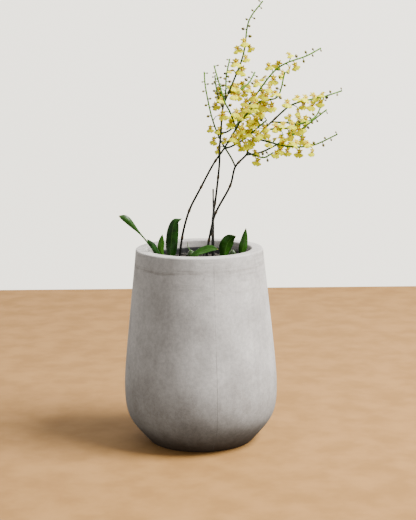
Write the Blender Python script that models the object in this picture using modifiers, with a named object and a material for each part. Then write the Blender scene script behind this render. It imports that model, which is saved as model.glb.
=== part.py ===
"""A round tapered planter with a lift-out grow pot that holds a flowering orchid.

Metres, +Z up. The origin is the centre of the planter's underside, +Y runs to the back.
"""

import math

import bmesh
import bpy
from mathutils import Matrix, Vector
from mathutils.geometry import interpolate_bezier

# Driving dimensions of the planter shell.
HEIGHT = 0.550
RIM_RADIUS = 0.179
MOUTH_RADIUS = 0.146
BELLY_RADIUS = 0.217
BELLY_HEIGHT = 0.157
FOOT_RADIUS = 0.148
WALL = 0.013
FLOOR = 0.022
RIM_DEPTH = 0.042
RIM_ROUND = 0.0045
RIM_DROP = 0.005
FOOT_ROUND = 0.005
INNER_CORNER = 0.012
SHOULDER = (0.2053, 0.300)
UPPER_BELLY_HEIGHT = 0.207
LOWER_BELLY_HEIGHT = 0.072
HIP = (0.2045, 0.0635)
GAP = 0.0003

# Drain holes through the floor, and the plugs that close them.
DRAIN_COUNT = 3
DRAIN_RING_RADIUS = 0.062
DRAIN_RADIUS = 0.0082
PLUG_STEM_RADIUS = 0.0077
PLUG_FLANGE_RADIUS = 0.0130
PLUG_FLANGE = 0.0030
PLUG_KNOB_RADIUS = 0.0045
PLUG_KNOB = 0.0090
PLUG_RECESS = 0.0030

# The grow pot hangs its rim a little below the mouth, and stands in a saucer on a riser.
POT_TOP = HEIGHT - 0.020
POT_HEIGHT = 0.250
POT_BASE = POT_TOP - POT_HEIGHT
POT_LIP_RADIUS = 0.1420
POT_LIP = 0.012
POT_TOP_RADIUS = 0.1370
POT_BASE_RADIUS = 0.1050
POT_WALL = 0.0022
POT_HOLES = 6
POT_HOLE_RADIUS = 0.006
POT_HOLE_RING_RADIUS = 0.070
HOLE_STEPS = 12
DRILL_CLEAR = 0.010
SAUCER_WALL = 0.0025
SAUCER_HEIGHT = 0.026
SAUCER_BASE_RADIUS = 0.1120
SAUCER_RIM_RADIUS = 0.1300
SAUCER_BASE = POT_BASE - GAP - SAUCER_WALL
RISER_TOP = SAUCER_BASE - GAP
RISER_TOP_RADIUS = 0.0950
RISER_FOOT_RADIUS = 0.1150
RISER_LIP_RADIUS = 0.1200
RISER_WALL = 0.0025
RISER_LIP = 0.012
RISER_BASE = FLOOR + GAP

# The mix that fills the grow pot, and the stake that is pushed into it.
MIX_TOP = 0.513
STAKE_X = 0.040
STAKE_Y = 0.016
STAKE_RADIUS = 0.0026
STAKE_TOP = 0.714
STAKE_BASE = 0.375
STAKE_HOLE_RADIUS = 0.0034

# The plant: stems and leaves start just above the mix, and each flower branch just clear of its stem.
BULB_BASE = MIX_TOP + GAP
STEM_BASE = MIX_TOP + 0.0008
LEAF_BASE = MIX_TOP + 0.0030
LEAF_THICKNESS = 0.0014
STEM_RADIUS = 0.0023
STEM_TIP_RADIUS = 0.0012
BRANCH_RADIUS = 0.0075
BRANCH_START_RADIUS = 0.0022
BRANCH_TIP_RADIUS = 0.0035
BRANCH_OFFSET = 0.0090
BRANCH_SWELL = 0.030

SHELL_STEPS = 64
POT_STEPS = 40
SMALL_STEPS = 18

CONCRETE = ("fibre_concrete", (0.56, 0.53, 0.50), 0.82)
BLACK_PLASTIC = ("black_plastic", (0.020, 0.020, 0.021), 0.55)
RUBBER = ("plug_rubber", (0.030, 0.030, 0.030), 0.80)
BARK = ("bark_mix", (0.085, 0.055, 0.035), 0.95)
STEM_GREEN = ("stem_green", (0.135, 0.170, 0.045), 0.50)
LEAF_GREEN = ("leaf_green", (0.060, 0.120, 0.030), 0.38)
BULB_GREEN = ("bulb_green", (0.150, 0.200, 0.060), 0.45)
PETAL_YELLOW = ("petal_yellow", (0.780, 0.600, 0.060), 0.55)

# Each stem's route, from its foot in the mix upwards.
STEMS = {
    "left": [
        (-0.057, -0.018, STEM_BASE),
        (-0.051, -0.020, 0.562),
        (-0.042, -0.022, 0.610),
        (-0.025, -0.026, 0.664),
        (0.004, -0.030, 0.720),
        (0.040, -0.036, 0.787),
        (0.071, -0.040, 0.832),
        (0.104, -0.045, 0.886),
        (0.123, -0.045, 0.921),
    ],
    "middle": [
        (0.037, 0.037, STEM_BASE),
        (0.037, 0.036, 0.560),
        (0.038, 0.036, 0.624),
        (0.048, 0.034, 0.692),
        (0.058, 0.030, 0.780),
        (0.059, 0.028, 0.828),
        (0.063, 0.025, 0.870),
        (0.069, 0.020, 0.939),
        (0.086, 0.015, 0.983),
        (0.100, 0.012, 1.016),
    ],
    "right": [
        (0.018, -0.003, STEM_BASE),
        (0.024, -0.004, 0.556),
        (0.039, -0.006, 0.627),
        (0.053, -0.008, 0.663),
        (0.087, -0.012, 0.725),
        (0.102, -0.010, 0.778),
        (0.132, -0.012, 0.811),
        (0.142, -0.015, 0.836),
        (0.176, -0.020, 0.877),
        (0.228, -0.020, 0.926),
    ],
}

# Each flower branch: the stem it grows from, the height where it leaves, and its route from there.
BRANCHES = {
    "left_tip": ("left", 0.921, [(0.145, -0.050, 0.958), (0.199, -0.050, 1.031),
                                 (0.237, -0.045, 1.060), (0.295, -0.035, 1.080), (0.336, -0.030, 1.101)]),
    "left_lower": ("left", 0.832, [(0.092, -0.052, 0.839), (0.125, -0.065, 0.859), (0.186, -0.090, 0.912)]),
    "left_inner": ("left", 0.886, [(0.088, -0.062, 0.931), (0.074, -0.072, 0.958),
                                   (0.060, -0.070, 1.004), (0.045, -0.062, 1.058)]),
    "left_outer": ("left", 0.905, [(0.147, -0.078, 0.943), (0.176, -0.092, 0.965),
                                   (0.215, -0.100, 0.975), (0.234, -0.102, 1.040)]),
    "middle_tip": ("middle", 1.016, [(0.120, 0.012, 1.065), (0.130, 0.010, 1.103),
                                     (0.142, 0.008, 1.176), (0.180, 0.005, 1.229)]),
    "middle_lower": ("middle", 0.870, [(0.086, 0.034, 0.875), (0.137, 0.055, 0.914), (0.197, 0.080, 0.946)]),
    "middle_left": ("middle", 0.939, [(0.058, 0.022, 0.965), (0.050, 0.020, 1.002), (0.048, 0.020, 1.030)]),
    "middle_right": ("middle", 0.983, [(0.108, 0.030, 0.985), (0.140, 0.045, 1.004), (0.160, 0.055, 1.036)]),
    "middle_back": ("middle", 0.955, [(0.078, 0.045, 0.990), (0.080, 0.062, 1.026), (0.090, 0.068, 1.073)]),
    "right_tip": ("right", 0.926, [(0.252, -0.020, 0.945), (0.289, -0.015, 0.958),
                                   (0.335, -0.010, 0.966), (0.397, 0.000, 0.984)]),
    "right_upright": ("right", 0.778, [(0.090, 0.030, 0.802), (0.062, 0.068, 0.847),
                                       (0.039, 0.082, 0.908), (0.022, 0.085, 0.990), (0.018, 0.090, 1.037)]),
    "right_long": ("right", 0.811, [(0.176, -0.002, 0.818), (0.230, 0.000, 0.845),
                                    (0.289, 0.002, 0.882), (0.356, 0.004, 0.933)]),
    "right_small": ("right", 0.818, [(0.155, -0.036, 0.812), (0.180, -0.050, 0.807), (0.205, -0.058, 0.821)]),
    "right_front": ("right", 0.857, [(0.190, -0.045, 0.850), (0.243, -0.062, 0.838),
                                     (0.310, -0.066, 0.840), (0.379, -0.068, 0.870)]),
    "right_middle": ("right", 0.877, [(0.206, -0.038, 0.884), (0.245, -0.062, 0.888), (0.292, -0.085, 0.905)]),
    "right_outer": ("right", 0.902, [(0.243, 0.002, 0.898), (0.285, 0.030, 0.893),
                                     (0.330, 0.055, 0.912), (0.353, 0.060, 0.965)]),
}

# Each leaf: its midrib from the mix to the tip, its half width, and the way its blade spreads.
LEAVES = {
    "long_left": ([(-0.106, -0.020, LEAF_BASE), (-0.120, -0.025, 0.537), (-0.148, -0.035, 0.578),
                   (-0.175, -0.040, 0.611), (-0.200, -0.044, 0.639), (-0.222, -0.045, 0.649)],
                  0.0095, (0.25, 1.0, 0.35)),
    "inner_left": ([(-0.096, -0.050, LEAF_BASE), (-0.117, -0.060, 0.548), (-0.128, -0.062, 0.568),
                    (-0.144, -0.064, 0.586)], 0.0070, (0.5, 1.0, 0.2)),
    "narrow_left": ([(-0.100, 0.012, LEAF_BASE), (-0.108, 0.010, 0.541), (-0.107, 0.010, 0.564),
                     (-0.104, 0.010, 0.588)], 0.0095, (1.0, 0.3, 0.0)),
    "tall_centre": ([(-0.081, -0.060, LEAF_BASE), (-0.080, -0.060, 0.541), (-0.077, -0.060, 0.575),
                     (-0.073, -0.060, 0.608), (-0.065, -0.058, 0.633), (-0.047, -0.056, 0.641)],
                    0.0165, (1.0, -0.25, 0.0)),
    "curled": ([(0.000, -0.038, LEAF_BASE), (-0.006, -0.039, 0.538), (-0.023, -0.040, 0.549),
                (-0.031, -0.040, 0.560), (-0.033, -0.040, 0.574)], 0.0030, (0.3, 1.0, 0.0)),
    "low_front": ([(-0.030, -0.092, LEAF_BASE), (-0.016, -0.092, 0.541), (0.010, -0.091, 0.556),
                   (0.032, -0.090, 0.562), (0.052, -0.090, 0.560)], 0.0100, (-0.2, 0.6, 0.75)),
    "broad_right": ([(0.068, -0.040, LEAF_BASE), (0.071, -0.040, 0.541), (0.076, -0.040, 0.563),
                     (0.086, -0.041, 0.579), (0.102, -0.042, 0.589)], 0.0170, (0.9, 0.4, 0.0)),
    "small_right": ([(0.116, 0.000, LEAF_BASE), (0.121, 0.000, 0.541), (0.126, 0.000, 0.568),
                     (0.131, 0.000, 0.605)], 0.0110, (0.8, 0.6, 0.0)),
}

# Each bulb: where it stands on the mix, its half width and its height.
BULBS = {
    "left": (-0.076, -0.030, 0.0110, 0.026),
    "centre": (-0.024, 0.012, 0.0125, 0.029),
    "front": (0.062, -0.006, 0.0105, 0.025),
    "right": (0.093, 0.022, 0.0115, 0.027),
}


def clear_scene():
    """Removes every object that the scene starts with."""
    for obj in list(bpy.data.objects):
        bpy.data.objects.remove(obj, do_unlink=True)


def new_collection(name):
    """A new collection linked to the scene."""
    collection = bpy.data.collections.new(name)
    bpy.context.scene.collection.children.link(collection)
    return collection


def material(finish):
    """The Principled material of a finish, made once."""
    name, colour, roughness = finish
    found = bpy.data.materials.get(name)
    if found:
        return found
    made = bpy.data.materials.new(name)
    made.use_nodes = True
    shader = made.node_tree.nodes["Principled BSDF"]
    shader.inputs["Base Color"].default_value = (*colour, 1.0)
    shader.inputs["Roughness"].default_value = roughness
    return made


def place(name, data, collection, finish=None):
    """An object for the given mesh or curve, in its collection, with its finish."""
    obj = bpy.data.objects.new(name, data)
    collection.objects.link(obj)
    if finish:
        data.materials.append(material(finish))
    return obj


def joint_empty(name, collection, location):
    """An empty on a joint's axis, for the pieces that move with it."""
    empty = place(name, None, collection)
    empty.empty_display_size = 0.05
    empty.location = location
    return empty


def carry(empty, pieces):
    """Parents pieces to an empty without moving them."""
    for piece in pieces:
        piece.parent = empty
        piece.matrix_parent_inverse = Matrix.Translation(empty.location).inverted()


def turned(name, profile, collection, finish, steps):
    """A solid turned about Z from a profile of (radius, height) points, its outer side running down.

    A profile that starts off the axis is joined up into a ring.
    """
    mesh = bpy.data.meshes.new(name)
    bm = bmesh.new()
    line = [bm.verts.new((radius, 0.0, height)) for radius, height in profile]
    for lower, upper in zip(line, line[1:]):
        bm.edges.new((lower, upper))
    if profile[0][0] > 0.0:
        bm.edges.new((line[-1], line[0]))
    bm.to_mesh(mesh)
    bm.free()
    obj = place(name, mesh, collection, finish)
    screw = obj.modifiers.new("turn", "SCREW")
    screw.steps = steps
    screw.render_steps = steps
    screw.use_merge_vertices = True
    screw.merge_threshold = 0.00001
    screw.use_smooth_shade = True
    return obj


def fillet(before, corner, after, radius, segments=3):
    """Points of an arc that rounds a corner between two straight stretches."""
    corner = Vector(corner)
    to_before = (Vector(before) - corner).normalized()
    to_after = (Vector(after) - corner).normalized()
    half_angle = to_before.angle(to_after) / 2
    reach = radius / math.tan(half_angle)
    centre = corner + (to_before + to_after).normalized() * (radius / math.sin(half_angle))
    start = corner + to_before * reach - centre
    end = corner + to_after * reach - centre
    points = []
    for step in range(segments + 1):
        spoke = start.slerp(end, step / segments) * radius
        points.append(tuple(centre + spoke))
    return points


def flank(height_from, height_to, inset=0.0, count=9):
    """The shell's outer outline between two heights, top to bottom, moved inwards by inset."""
    belly = (BELLY_RADIUS, BELLY_HEIGHT)
    upper = [(RIM_RADIUS, HEIGHT - RIM_DROP), SHOULDER, (BELLY_RADIUS, UPPER_BELLY_HEIGHT), belly]
    lower = [belly, (BELLY_RADIUS, LOWER_BELLY_HEIGHT), HIP, (FOOT_RADIUS, 0.0)]
    outline = []
    for knots in (upper, lower):
        curve = interpolate_bezier(*(Vector((r, z, 0.0)) for r, z in knots), count)
        outline += [(point.x, point.y) for point in curve[:-1]]
    return [(r - inset, z) for r, z in outline if height_to < z < height_from]


def shell_profile():
    """The planter's half section: inside floor, inner wall, rim, outer flank and underside."""
    lip_end = (MOUTH_RADIUS, HEIGHT - RIM_DEPTH)
    inner = flank(HEIGHT - RIM_DEPTH - 0.030, FLOOR + 0.010, WALL)
    outer = flank(HEIGHT - 0.010, 0.008)
    corner_radius = inner[-1][0] - INNER_CORNER
    profile = [(0.0, FLOOR), (corner_radius, FLOOR)]
    profile += reversed(inner)
    profile.append(lip_end)
    profile += fillet(lip_end, (MOUTH_RADIUS, HEIGHT), (RIM_RADIUS, HEIGHT), RIM_ROUND)
    profile += fillet((MOUTH_RADIUS, HEIGHT), (RIM_RADIUS, HEIGHT), outer[0], RIM_ROUND)
    profile += outer
    profile += fillet(outer[-1], (FOOT_RADIUS, 0.0), (0.0, 0.0), FOOT_ROUND)
    profile.append((0.0, 0.0))
    return profile


def drain_places():
    """The centres of the drain holes, evenly round the floor, the first at the front."""
    places = []
    for number in range(DRAIN_COUNT):
        angle = -math.pi / 2 + number * math.tau / DRAIN_COUNT
        places.append((DRAIN_RING_RADIUS * math.cos(angle), DRAIN_RING_RADIUS * math.sin(angle)))
    return places


def hole_cutter(name, places, radius, low, high, cutters, sides=SMALL_STEPS):
    """A hidden cutter with one upright cylinder at each place."""
    mesh = bpy.data.meshes.new(name)
    bm = bmesh.new()
    for x, y in places:
        spot = Matrix.Translation((x, y, (low + high) / 2))
        bmesh.ops.create_cone(bm, cap_ends=True, segments=sides, radius1=radius, radius2=radius,
                              depth=high - low, matrix=spot)
    bm.to_mesh(mesh)
    bm.free()
    cutter = place(name, mesh, cutters)
    cutter.hide_render = True
    cutter.display_type = "WIRE"
    return cutter


def cut(obj, cutter):
    """Cuts an object by a cutter with a live Boolean."""
    boolean = obj.modifiers.new("cut " + cutter.name, "BOOLEAN")
    boolean.operation = "DIFFERENCE"
    boolean.object = cutter


def make_shell(parts, cutters):
    """The concrete shell, with its drain holes."""
    shell = turned("planter_shell", shell_profile(), parts, CONCRETE, SHELL_STEPS)
    cut(shell, hole_cutter("drain_cutter", drain_places(), DRAIN_RADIUS, -DRILL_CLEAR,
                           FLOOR + DRILL_CLEAR, cutters))
    return shell


def make_plugs(parts):
    """The rubber plugs, each on its own empty, with a flange on the floor and a knob to pull."""
    flange_base = FLOOR + GAP
    flange_top = flange_base + PLUG_FLANGE
    profile = [
        (0.0, flange_top + PLUG_KNOB),
        (PLUG_KNOB_RADIUS - 0.001, flange_top + PLUG_KNOB),
        (PLUG_KNOB_RADIUS, flange_top + PLUG_KNOB - 0.001),
        (PLUG_KNOB_RADIUS, flange_top),
        (PLUG_FLANGE_RADIUS - 0.001, flange_top),
        (PLUG_FLANGE_RADIUS, flange_top - 0.001),
        (PLUG_FLANGE_RADIUS, flange_base),
        (PLUG_STEM_RADIUS, flange_base),
        (PLUG_STEM_RADIUS, PLUG_RECESS + 0.003),
        (PLUG_STEM_RADIUS - 0.001, PLUG_RECESS),
        (0.0, PLUG_RECESS),
    ]
    for number, (x, y) in enumerate(drain_places(), 1):
        plug = turned(f"drain_plug_{number}", profile, parts, RUBBER, SMALL_STEPS)
        plug.location = (x, y, 0.0)
        carry(joint_empty(f"plug_{number}_axis", parts, (x, y, FLOOR)), [plug])


def make_riser(parts):
    """The open tapered ring that lifts the saucer and the grow pot to the mouth."""
    profile = [
        (RISER_TOP_RADIUS - 0.001, RISER_TOP),
        (RISER_TOP_RADIUS, RISER_TOP - 0.001),
        (RISER_FOOT_RADIUS, RISER_BASE + RISER_LIP),
        (RISER_LIP_RADIUS, RISER_BASE + RISER_LIP),
        (RISER_LIP_RADIUS, RISER_BASE),
        (RISER_FOOT_RADIUS - RISER_WALL, RISER_BASE),
        (RISER_TOP_RADIUS - RISER_WALL, RISER_TOP),
    ]
    turned("riser_ring", profile, parts, BLACK_PLASTIC, POT_STEPS)


def make_saucer(parts):
    """The drip saucer between the riser and the grow pot."""
    top = SAUCER_BASE + SAUCER_HEIGHT
    profile = [
        (0.0, SAUCER_BASE + SAUCER_WALL),
        (SAUCER_BASE_RADIUS - SAUCER_WALL, SAUCER_BASE + SAUCER_WALL),
        (SAUCER_RIM_RADIUS - SAUCER_WALL, top - 0.001),
        (SAUCER_RIM_RADIUS - SAUCER_WALL / 2, top),
        (SAUCER_RIM_RADIUS, top - 0.001),
        (SAUCER_BASE_RADIUS, SAUCER_BASE),
        (0.0, SAUCER_BASE),
    ]
    turned("drip_saucer", profile, parts, BLACK_PLASTIC, POT_STEPS)


def ring_places(count, radius):
    """Places evenly round a circle about the planter's axis."""
    spots = []
    for number in range(count):
        angle = math.tau * (number + 0.5) / count
        spots.append((radius * math.cos(angle), radius * math.sin(angle)))
    return spots


def pot_radius(height):
    """The grow pot's outer radius below its lip."""
    share = (height - POT_BASE) / (POT_TOP - POT_BASE)
    return POT_BASE_RADIUS + (POT_TOP_RADIUS - POT_BASE_RADIUS) * share


def make_grow_pot(parts, cutters):
    """The black nursery pot, with a turned lip and holes in its base."""
    lip_base = POT_TOP - POT_LIP
    profile = [
        (0.0, POT_BASE + POT_WALL),
        (POT_BASE_RADIUS - POT_WALL - 0.004, POT_BASE + POT_WALL),
        (pot_radius(POT_BASE + 0.006) - POT_WALL, POT_BASE + 0.006),
        (pot_radius(POT_TOP) - POT_WALL, POT_TOP - 0.001),
        (pot_radius(POT_TOP) - POT_WALL / 2, POT_TOP),
        (POT_LIP_RADIUS - 0.001, POT_TOP),
        (POT_LIP_RADIUS, POT_TOP - 0.001),
        (POT_LIP_RADIUS, lip_base),
        (pot_radius(lip_base), lip_base),
        (pot_radius(POT_BASE + 0.004), POT_BASE + 0.004),
        (POT_BASE_RADIUS - 0.004, POT_BASE),
        (0.0, POT_BASE),
    ]
    pot = turned("grow_pot", profile, parts, BLACK_PLASTIC, POT_STEPS)
    ring = ring_places(POT_HOLES, POT_HOLE_RING_RADIUS)
    cut(pot, hole_cutter("pot_hole_cutter", ring, POT_HOLE_RADIUS, POT_BASE - DRILL_CLEAR,
                         POT_BASE + DRILL_CLEAR, cutters, HOLE_STEPS))
    return pot


def make_mix(parts, cutters):
    """The bark mix that fills the pot, with the hole that the stake is pushed into."""
    inset = POT_WALL + GAP
    base = POT_BASE + POT_WALL + GAP
    profile = [
        (0.0, MIX_TOP),
        (pot_radius(MIX_TOP) - inset - 0.001, MIX_TOP),
        (pot_radius(MIX_TOP - 0.004) - inset - 0.0003, MIX_TOP - 0.004),
        (pot_radius(base + 0.006) - inset - 0.0003, base + 0.006),
        (POT_BASE_RADIUS - inset - 0.006, base),
        (0.0, base),
    ]
    mix = turned("potting_mix", profile, parts, BARK, POT_STEPS)
    cut(mix, hole_cutter("stake_hole_cutter", [(STAKE_X, STAKE_Y)], STAKE_HOLE_RADIUS, STAKE_BASE - 0.003,
                         MIX_TOP + DRILL_CLEAR, cutters, HOLE_STEPS))
    return mix


def make_stake(parts):
    """The straight plant stake, pointed at its foot."""
    profile = [
        (0.0, STAKE_TOP),
        (STAKE_RADIUS - 0.0006, STAKE_TOP),
        (STAKE_RADIUS, STAKE_TOP - 0.0006),
        (STAKE_RADIUS, STAKE_BASE + 0.014),
        (0.0006, STAKE_BASE),
        (0.0, STAKE_BASE),
    ]
    stake = turned("support_stake", profile, parts, BLACK_PLASTIC, 12)
    stake.location = (STAKE_X, STAKE_Y, 0.0)
    axis = joint_empty("stake_axis", parts, (STAKE_X, STAKE_Y, MIX_TOP))
    carry(axis, [stake])
    return axis


def smooth_route(points, count):
    """A smooth curve through hand-set points, as count evenly timed points."""
    knots = [Vector(point) for point in points]
    spans = len(knots) - 1
    route = []
    for step in range(count):
        at = step * spans / (count - 1)
        span = min(int(at), spans - 1)
        t = at - span
        here, there = knots[span], knots[span + 1]
        before = knots[span - 1] if span else here * 2 - there
        after = knots[span + 2] if span + 2 <= spans else there * 2 - here
        leave = (there - before) / 2
        arrive = (after - here) / 2
        route.append(
            here * (2 * t**3 - 3 * t**2 + 1)
            + leave * (t**3 - 2 * t**2 + t)
            + there * (3 * t**2 - 2 * t**3)
            + arrive * (t**3 - t**2)
        )
    return route


def tube(name, route, radii, collection, finish, resolution):
    """A closed tube along a route, with a radius at each point."""
    curve = bpy.data.curves.new(name, "CURVE")
    curve.dimensions = "3D"
    curve.bevel_depth = 1.0
    curve.bevel_resolution = resolution
    curve.use_fill_caps = True
    spline = curve.splines.new("POLY")
    spline.points.add(len(route) - 1)
    for point, place_at, radius in zip(spline.points, route, radii):
        point.co = (*place_at, 1.0)
        point.radius = radius
    return place(name, curve, collection, finish)


def make_stem(side, parts):
    """One bare flower stem, thinner towards its top."""
    knots = STEMS[side]
    count = 2 * len(knots) - 1
    route = smooth_route(knots, count)
    radii = [STEM_RADIUS + (STEM_TIP_RADIUS - STEM_RADIUS) * i / (count - 1) for i in range(count)]
    return tube(f"stem_{side}", route, radii, parts, STEM_GREEN, 1)


def point_at_height(side, height):
    """The point of a stem at a height, or its top."""
    route = smooth_route(STEMS[side], 8 * len(STEMS[side]))
    for lower, upper in zip(route, route[1:]):
        if lower.z <= height <= upper.z:
            return lower.lerp(upper, (height - lower.z) / (upper.z - lower.z))
    return route[-1]


def trimmed(route, offset):
    """A route with its first stretch of the given length taken off."""
    length = 0.0
    for number, (here, there) in enumerate(zip(route, route[1:])):
        span = (there - here).length
        if length + span > offset:
            start = here.lerp(there, (offset - length) / span)
            return [start] + route[number + 1:]
        length += span
    return route


def make_branch(name, parts):
    """One branch of flowers and buds, as the plain tapered form that they fill."""
    side, height, knots = BRANCHES[name]
    start = point_at_height(side, height)
    is_tip = name.endswith("tip")
    route = smooth_route([start] + knots, 3 * len(knots) + 2)
    route = trimmed(route, 0.0005 if is_tip else BRANCH_OFFSET)
    lengths = [0.0]
    for here, there in zip(route, route[1:]):
        lengths.append(lengths[-1] + (there - here).length)
    radii = []
    for length in lengths:
        swell = min(1.0, length / BRANCH_SWELL)
        left = min(1.0, (lengths[-1] - length) / BRANCH_SWELL)
        full = BRANCH_START_RADIUS + (BRANCH_RADIUS - BRANCH_START_RADIUS) * swell
        radii.append(BRANCH_TIP_RADIUS + (full - BRANCH_TIP_RADIUS) * left if length > 0.0 else full)
    return tube(f"flower_branch_{name}", route, radii, parts, PETAL_YELLOW, 2)


def make_leaf(name, parts):
    """One strap leaf with a shallow fold along its midrib."""
    knots, half_width, spread = LEAVES[name]
    rows = 2 * len(knots)
    route = smooth_route(knots, rows + 1)
    mesh = bpy.data.meshes.new(f"leaf_{name}")
    bm = bmesh.new()
    bmesh.ops.create_grid(bm, x_segments=2, y_segments=rows, size=1.0)
    for vert in bm.verts:
        row = round((vert.co.y + 1) / 2 * rows)
        ahead = route[min(row + 1, rows)] - route[max(row - 1, 0)]
        across = (Vector(spread) - Vector(spread).project(ahead)).normalized()
        facing = ahead.cross(across).normalized()
        share = row / rows
        width = half_width * max(0.10, min(1.0, 0.5 + 2.5 * share) * math.sqrt(1 - share**3))
        side = vert.co.x
        vert.co = route[row] + across * side * width + facing * abs(side) * width * 0.35
    bm.to_mesh(mesh)
    bm.free()
    leaf = place(f"leaf_{name}", mesh, parts, LEAF_GREEN)
    skin = leaf.modifiers.new("blade", "SOLIDIFY")
    skin.thickness = LEAF_THICKNESS
    skin.offset = 0.0
    mesh.shade_smooth()
    return leaf


def make_bulb(name, parts):
    """One pseudobulb, an upright egg that is flat where it stands on the mix."""
    x, y, half_width, height = BULBS[name]
    mesh = bpy.data.meshes.new(f"pseudobulb_{name}")
    bm = bmesh.new()
    bmesh.ops.create_icosphere(bm, subdivisions=2, radius=1.0)
    bmesh.ops.scale(bm, vec=(half_width, half_width * 0.75, height * 0.62), verts=bm.verts)
    bmesh.ops.translate(bm, vec=(x, y, BULB_BASE + height * 0.38), verts=bm.verts)
    geometry = bm.verts[:] + bm.edges[:] + bm.faces[:]
    bottom = bmesh.ops.bisect_plane(bm, geom=geometry, plane_co=(0, 0, BULB_BASE), plane_no=(0, 0, -1),
                                    clear_outer=True)
    edges = [item for item in bottom["geom_cut"] if isinstance(item, bmesh.types.BMEdge)]
    bmesh.ops.contextual_create(bm, geom=edges)
    bmesh.ops.recalc_face_normals(bm, faces=bm.faces)
    bm.to_mesh(mesh)
    bm.free()
    mesh.shade_smooth()
    return place(f"pseudobulb_{name}", mesh, parts, BULB_GREEN)


def main():
    clear_scene()
    parts = new_collection("planter")
    cutters = new_collection("cutters")
    make_shell(parts, cutters)
    make_plugs(parts)
    make_riser(parts)
    make_saucer(parts)
    lifted = [make_grow_pot(parts, cutters), make_mix(parts, cutters), make_stake(parts)]
    lifted += [make_stem(side, parts) for side in STEMS]
    lifted += [make_branch(name, parts) for name in BRANCHES]
    lifted += [make_leaf(name, parts) for name in LEAVES]
    lifted += [make_bulb(name, parts) for name in BULBS]
    carry(joint_empty("grow_pot_axis", parts, (0.0, 0.0, POT_BASE)), lifted)


main()
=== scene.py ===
"""The looks of a round tapered concrete planter that holds a potted spray orchid. Metres, +Z up."""

import math
import random

import bmesh
import bpy
from mathutils import Matrix, Vector, noise
from mathutils.geometry import interpolate_bezier


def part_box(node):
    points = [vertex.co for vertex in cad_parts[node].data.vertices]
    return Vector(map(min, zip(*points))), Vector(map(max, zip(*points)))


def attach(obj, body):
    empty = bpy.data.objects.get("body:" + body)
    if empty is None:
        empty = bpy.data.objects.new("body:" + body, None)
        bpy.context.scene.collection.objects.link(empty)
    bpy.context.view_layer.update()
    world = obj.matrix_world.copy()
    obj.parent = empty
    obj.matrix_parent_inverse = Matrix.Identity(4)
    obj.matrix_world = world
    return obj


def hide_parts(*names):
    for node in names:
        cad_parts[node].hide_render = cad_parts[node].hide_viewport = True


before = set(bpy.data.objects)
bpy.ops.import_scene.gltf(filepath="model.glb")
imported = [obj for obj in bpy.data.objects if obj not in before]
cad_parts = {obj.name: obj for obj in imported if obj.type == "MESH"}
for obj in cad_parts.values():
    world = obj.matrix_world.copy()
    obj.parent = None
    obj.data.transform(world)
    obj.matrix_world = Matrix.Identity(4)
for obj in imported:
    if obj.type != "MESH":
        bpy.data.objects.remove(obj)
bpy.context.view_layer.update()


# ---------------------------------------------------------------- sizes and shades, from the frame where it has them

SHELL_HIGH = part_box("planter_shell")[1]
POT_LOW, POT_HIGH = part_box("grow_pot")
MIX_LOW, MIX_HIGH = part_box("potting_mix")
SAUCER_LOW, SAUCER_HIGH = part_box("drip_saucer")
RISER_LOW, RISER_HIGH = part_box("riser_ring")
STAKE_LOW, STAKE_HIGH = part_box("support_stake")

HEIGHT = SHELL_HIGH.z
BELLY_RADIUS = SHELL_HIGH.x
BELLY_HEIGHT = 0.157
RIM_RADIUS = 0.179
MOUTH_RADIUS = 0.146
FOOT_RADIUS = 0.148
WALL = 0.013
FLOOR = 0.022
RIM_DEPTH = 0.042
DRAIN_RADIUS = 0.0082
MIX_TOP = MIX_HIGH.z

# The mould's parting line: its turn about the planter's axis, and its groove in the flank.
SEAM_TURN = math.radians(12.2)
SEAM_HALF_WIDTH = 0.0006
SEAM_REACH = 0.0022
SEAM_DEPTH = 0.0005

# The nursery pot, and the riser and saucer under it.
PLASTIC_WALL = 0.0025
POT_WALL = 0.0022
POT_BASE_RADIUS = 0.1050
POT_SIDE_RADIUS = 0.1370
POT_HOLE_RADIUS = 0.006
POT_HOLE_RING = 0.070

# The chips of bark, and the room that they and the mix leave about the stake.
CHIP_COUNT = 620
CHIP_CLEARANCE = 0.013
STAKE_HOLE_RADIUS = 0.0034

STEM_RADIUS = 0.0034
STEM_TIP_RADIUS = 0.0026
TWIG_RADIUS = 0.0028
TWIG_TIP_RADIUS = 0.0021
PEDICEL_RADIUS = 0.0011
JOINT_SPACING = 0.078
SHEATH_LENGTH = 0.009
# How green a stem is at its top, a twig at its tip and a flower's stalk, from 0, near black, to 1.
STEM_TOP_SHADE = 0.70
TWIG_TIP_SHADE = 0.97
PEDICEL_SHADE = 0.92

LEAF_THICKNESS = 0.0009
PETAL_THICKNESS = 0.0003
LIP_LENGTH = 0.0132
LIP_HALF_WIDTH = 0.0118
LIP_WAIST = 0.0015
# The narrow petals: turn from the right, length, half width.
NARROW_PETALS = ((90, 0.0086, 0.0021), (33, 0.0082, 0.0024), (147, 0.0082, 0.0024), (-28, 0.0070, 0.0015),
                 (208, 0.0070, 0.0015))
# From the smallest to the largest: flowers, beside their template, and the lengths of buds.
FLOWER_SIZES = (0.98, 1.40)
BUD_SIZES = (0.0098, 0.0118)
TOWARDS_FRONT = Vector((0.0, -1.0, 0.0))
# The share of the flowers that look away from the front.
FACING_AWAY = 0.10
# Flower stalks end at least this far from the stake's line, up to a height above its top
# that leaves room to pull it out.
STAKE_CLEARANCE = 0.024
STAKE_HEADROOM = 0.19

STAGE_REACH = 7.0
WALL_PLACE = 2.23
CAMERA_PLACE = (0.0238, -3.605, 1.137)
CAMERA_PITCH = math.radians(9.79)
CAMERA_ROLL = -0.0095

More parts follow.
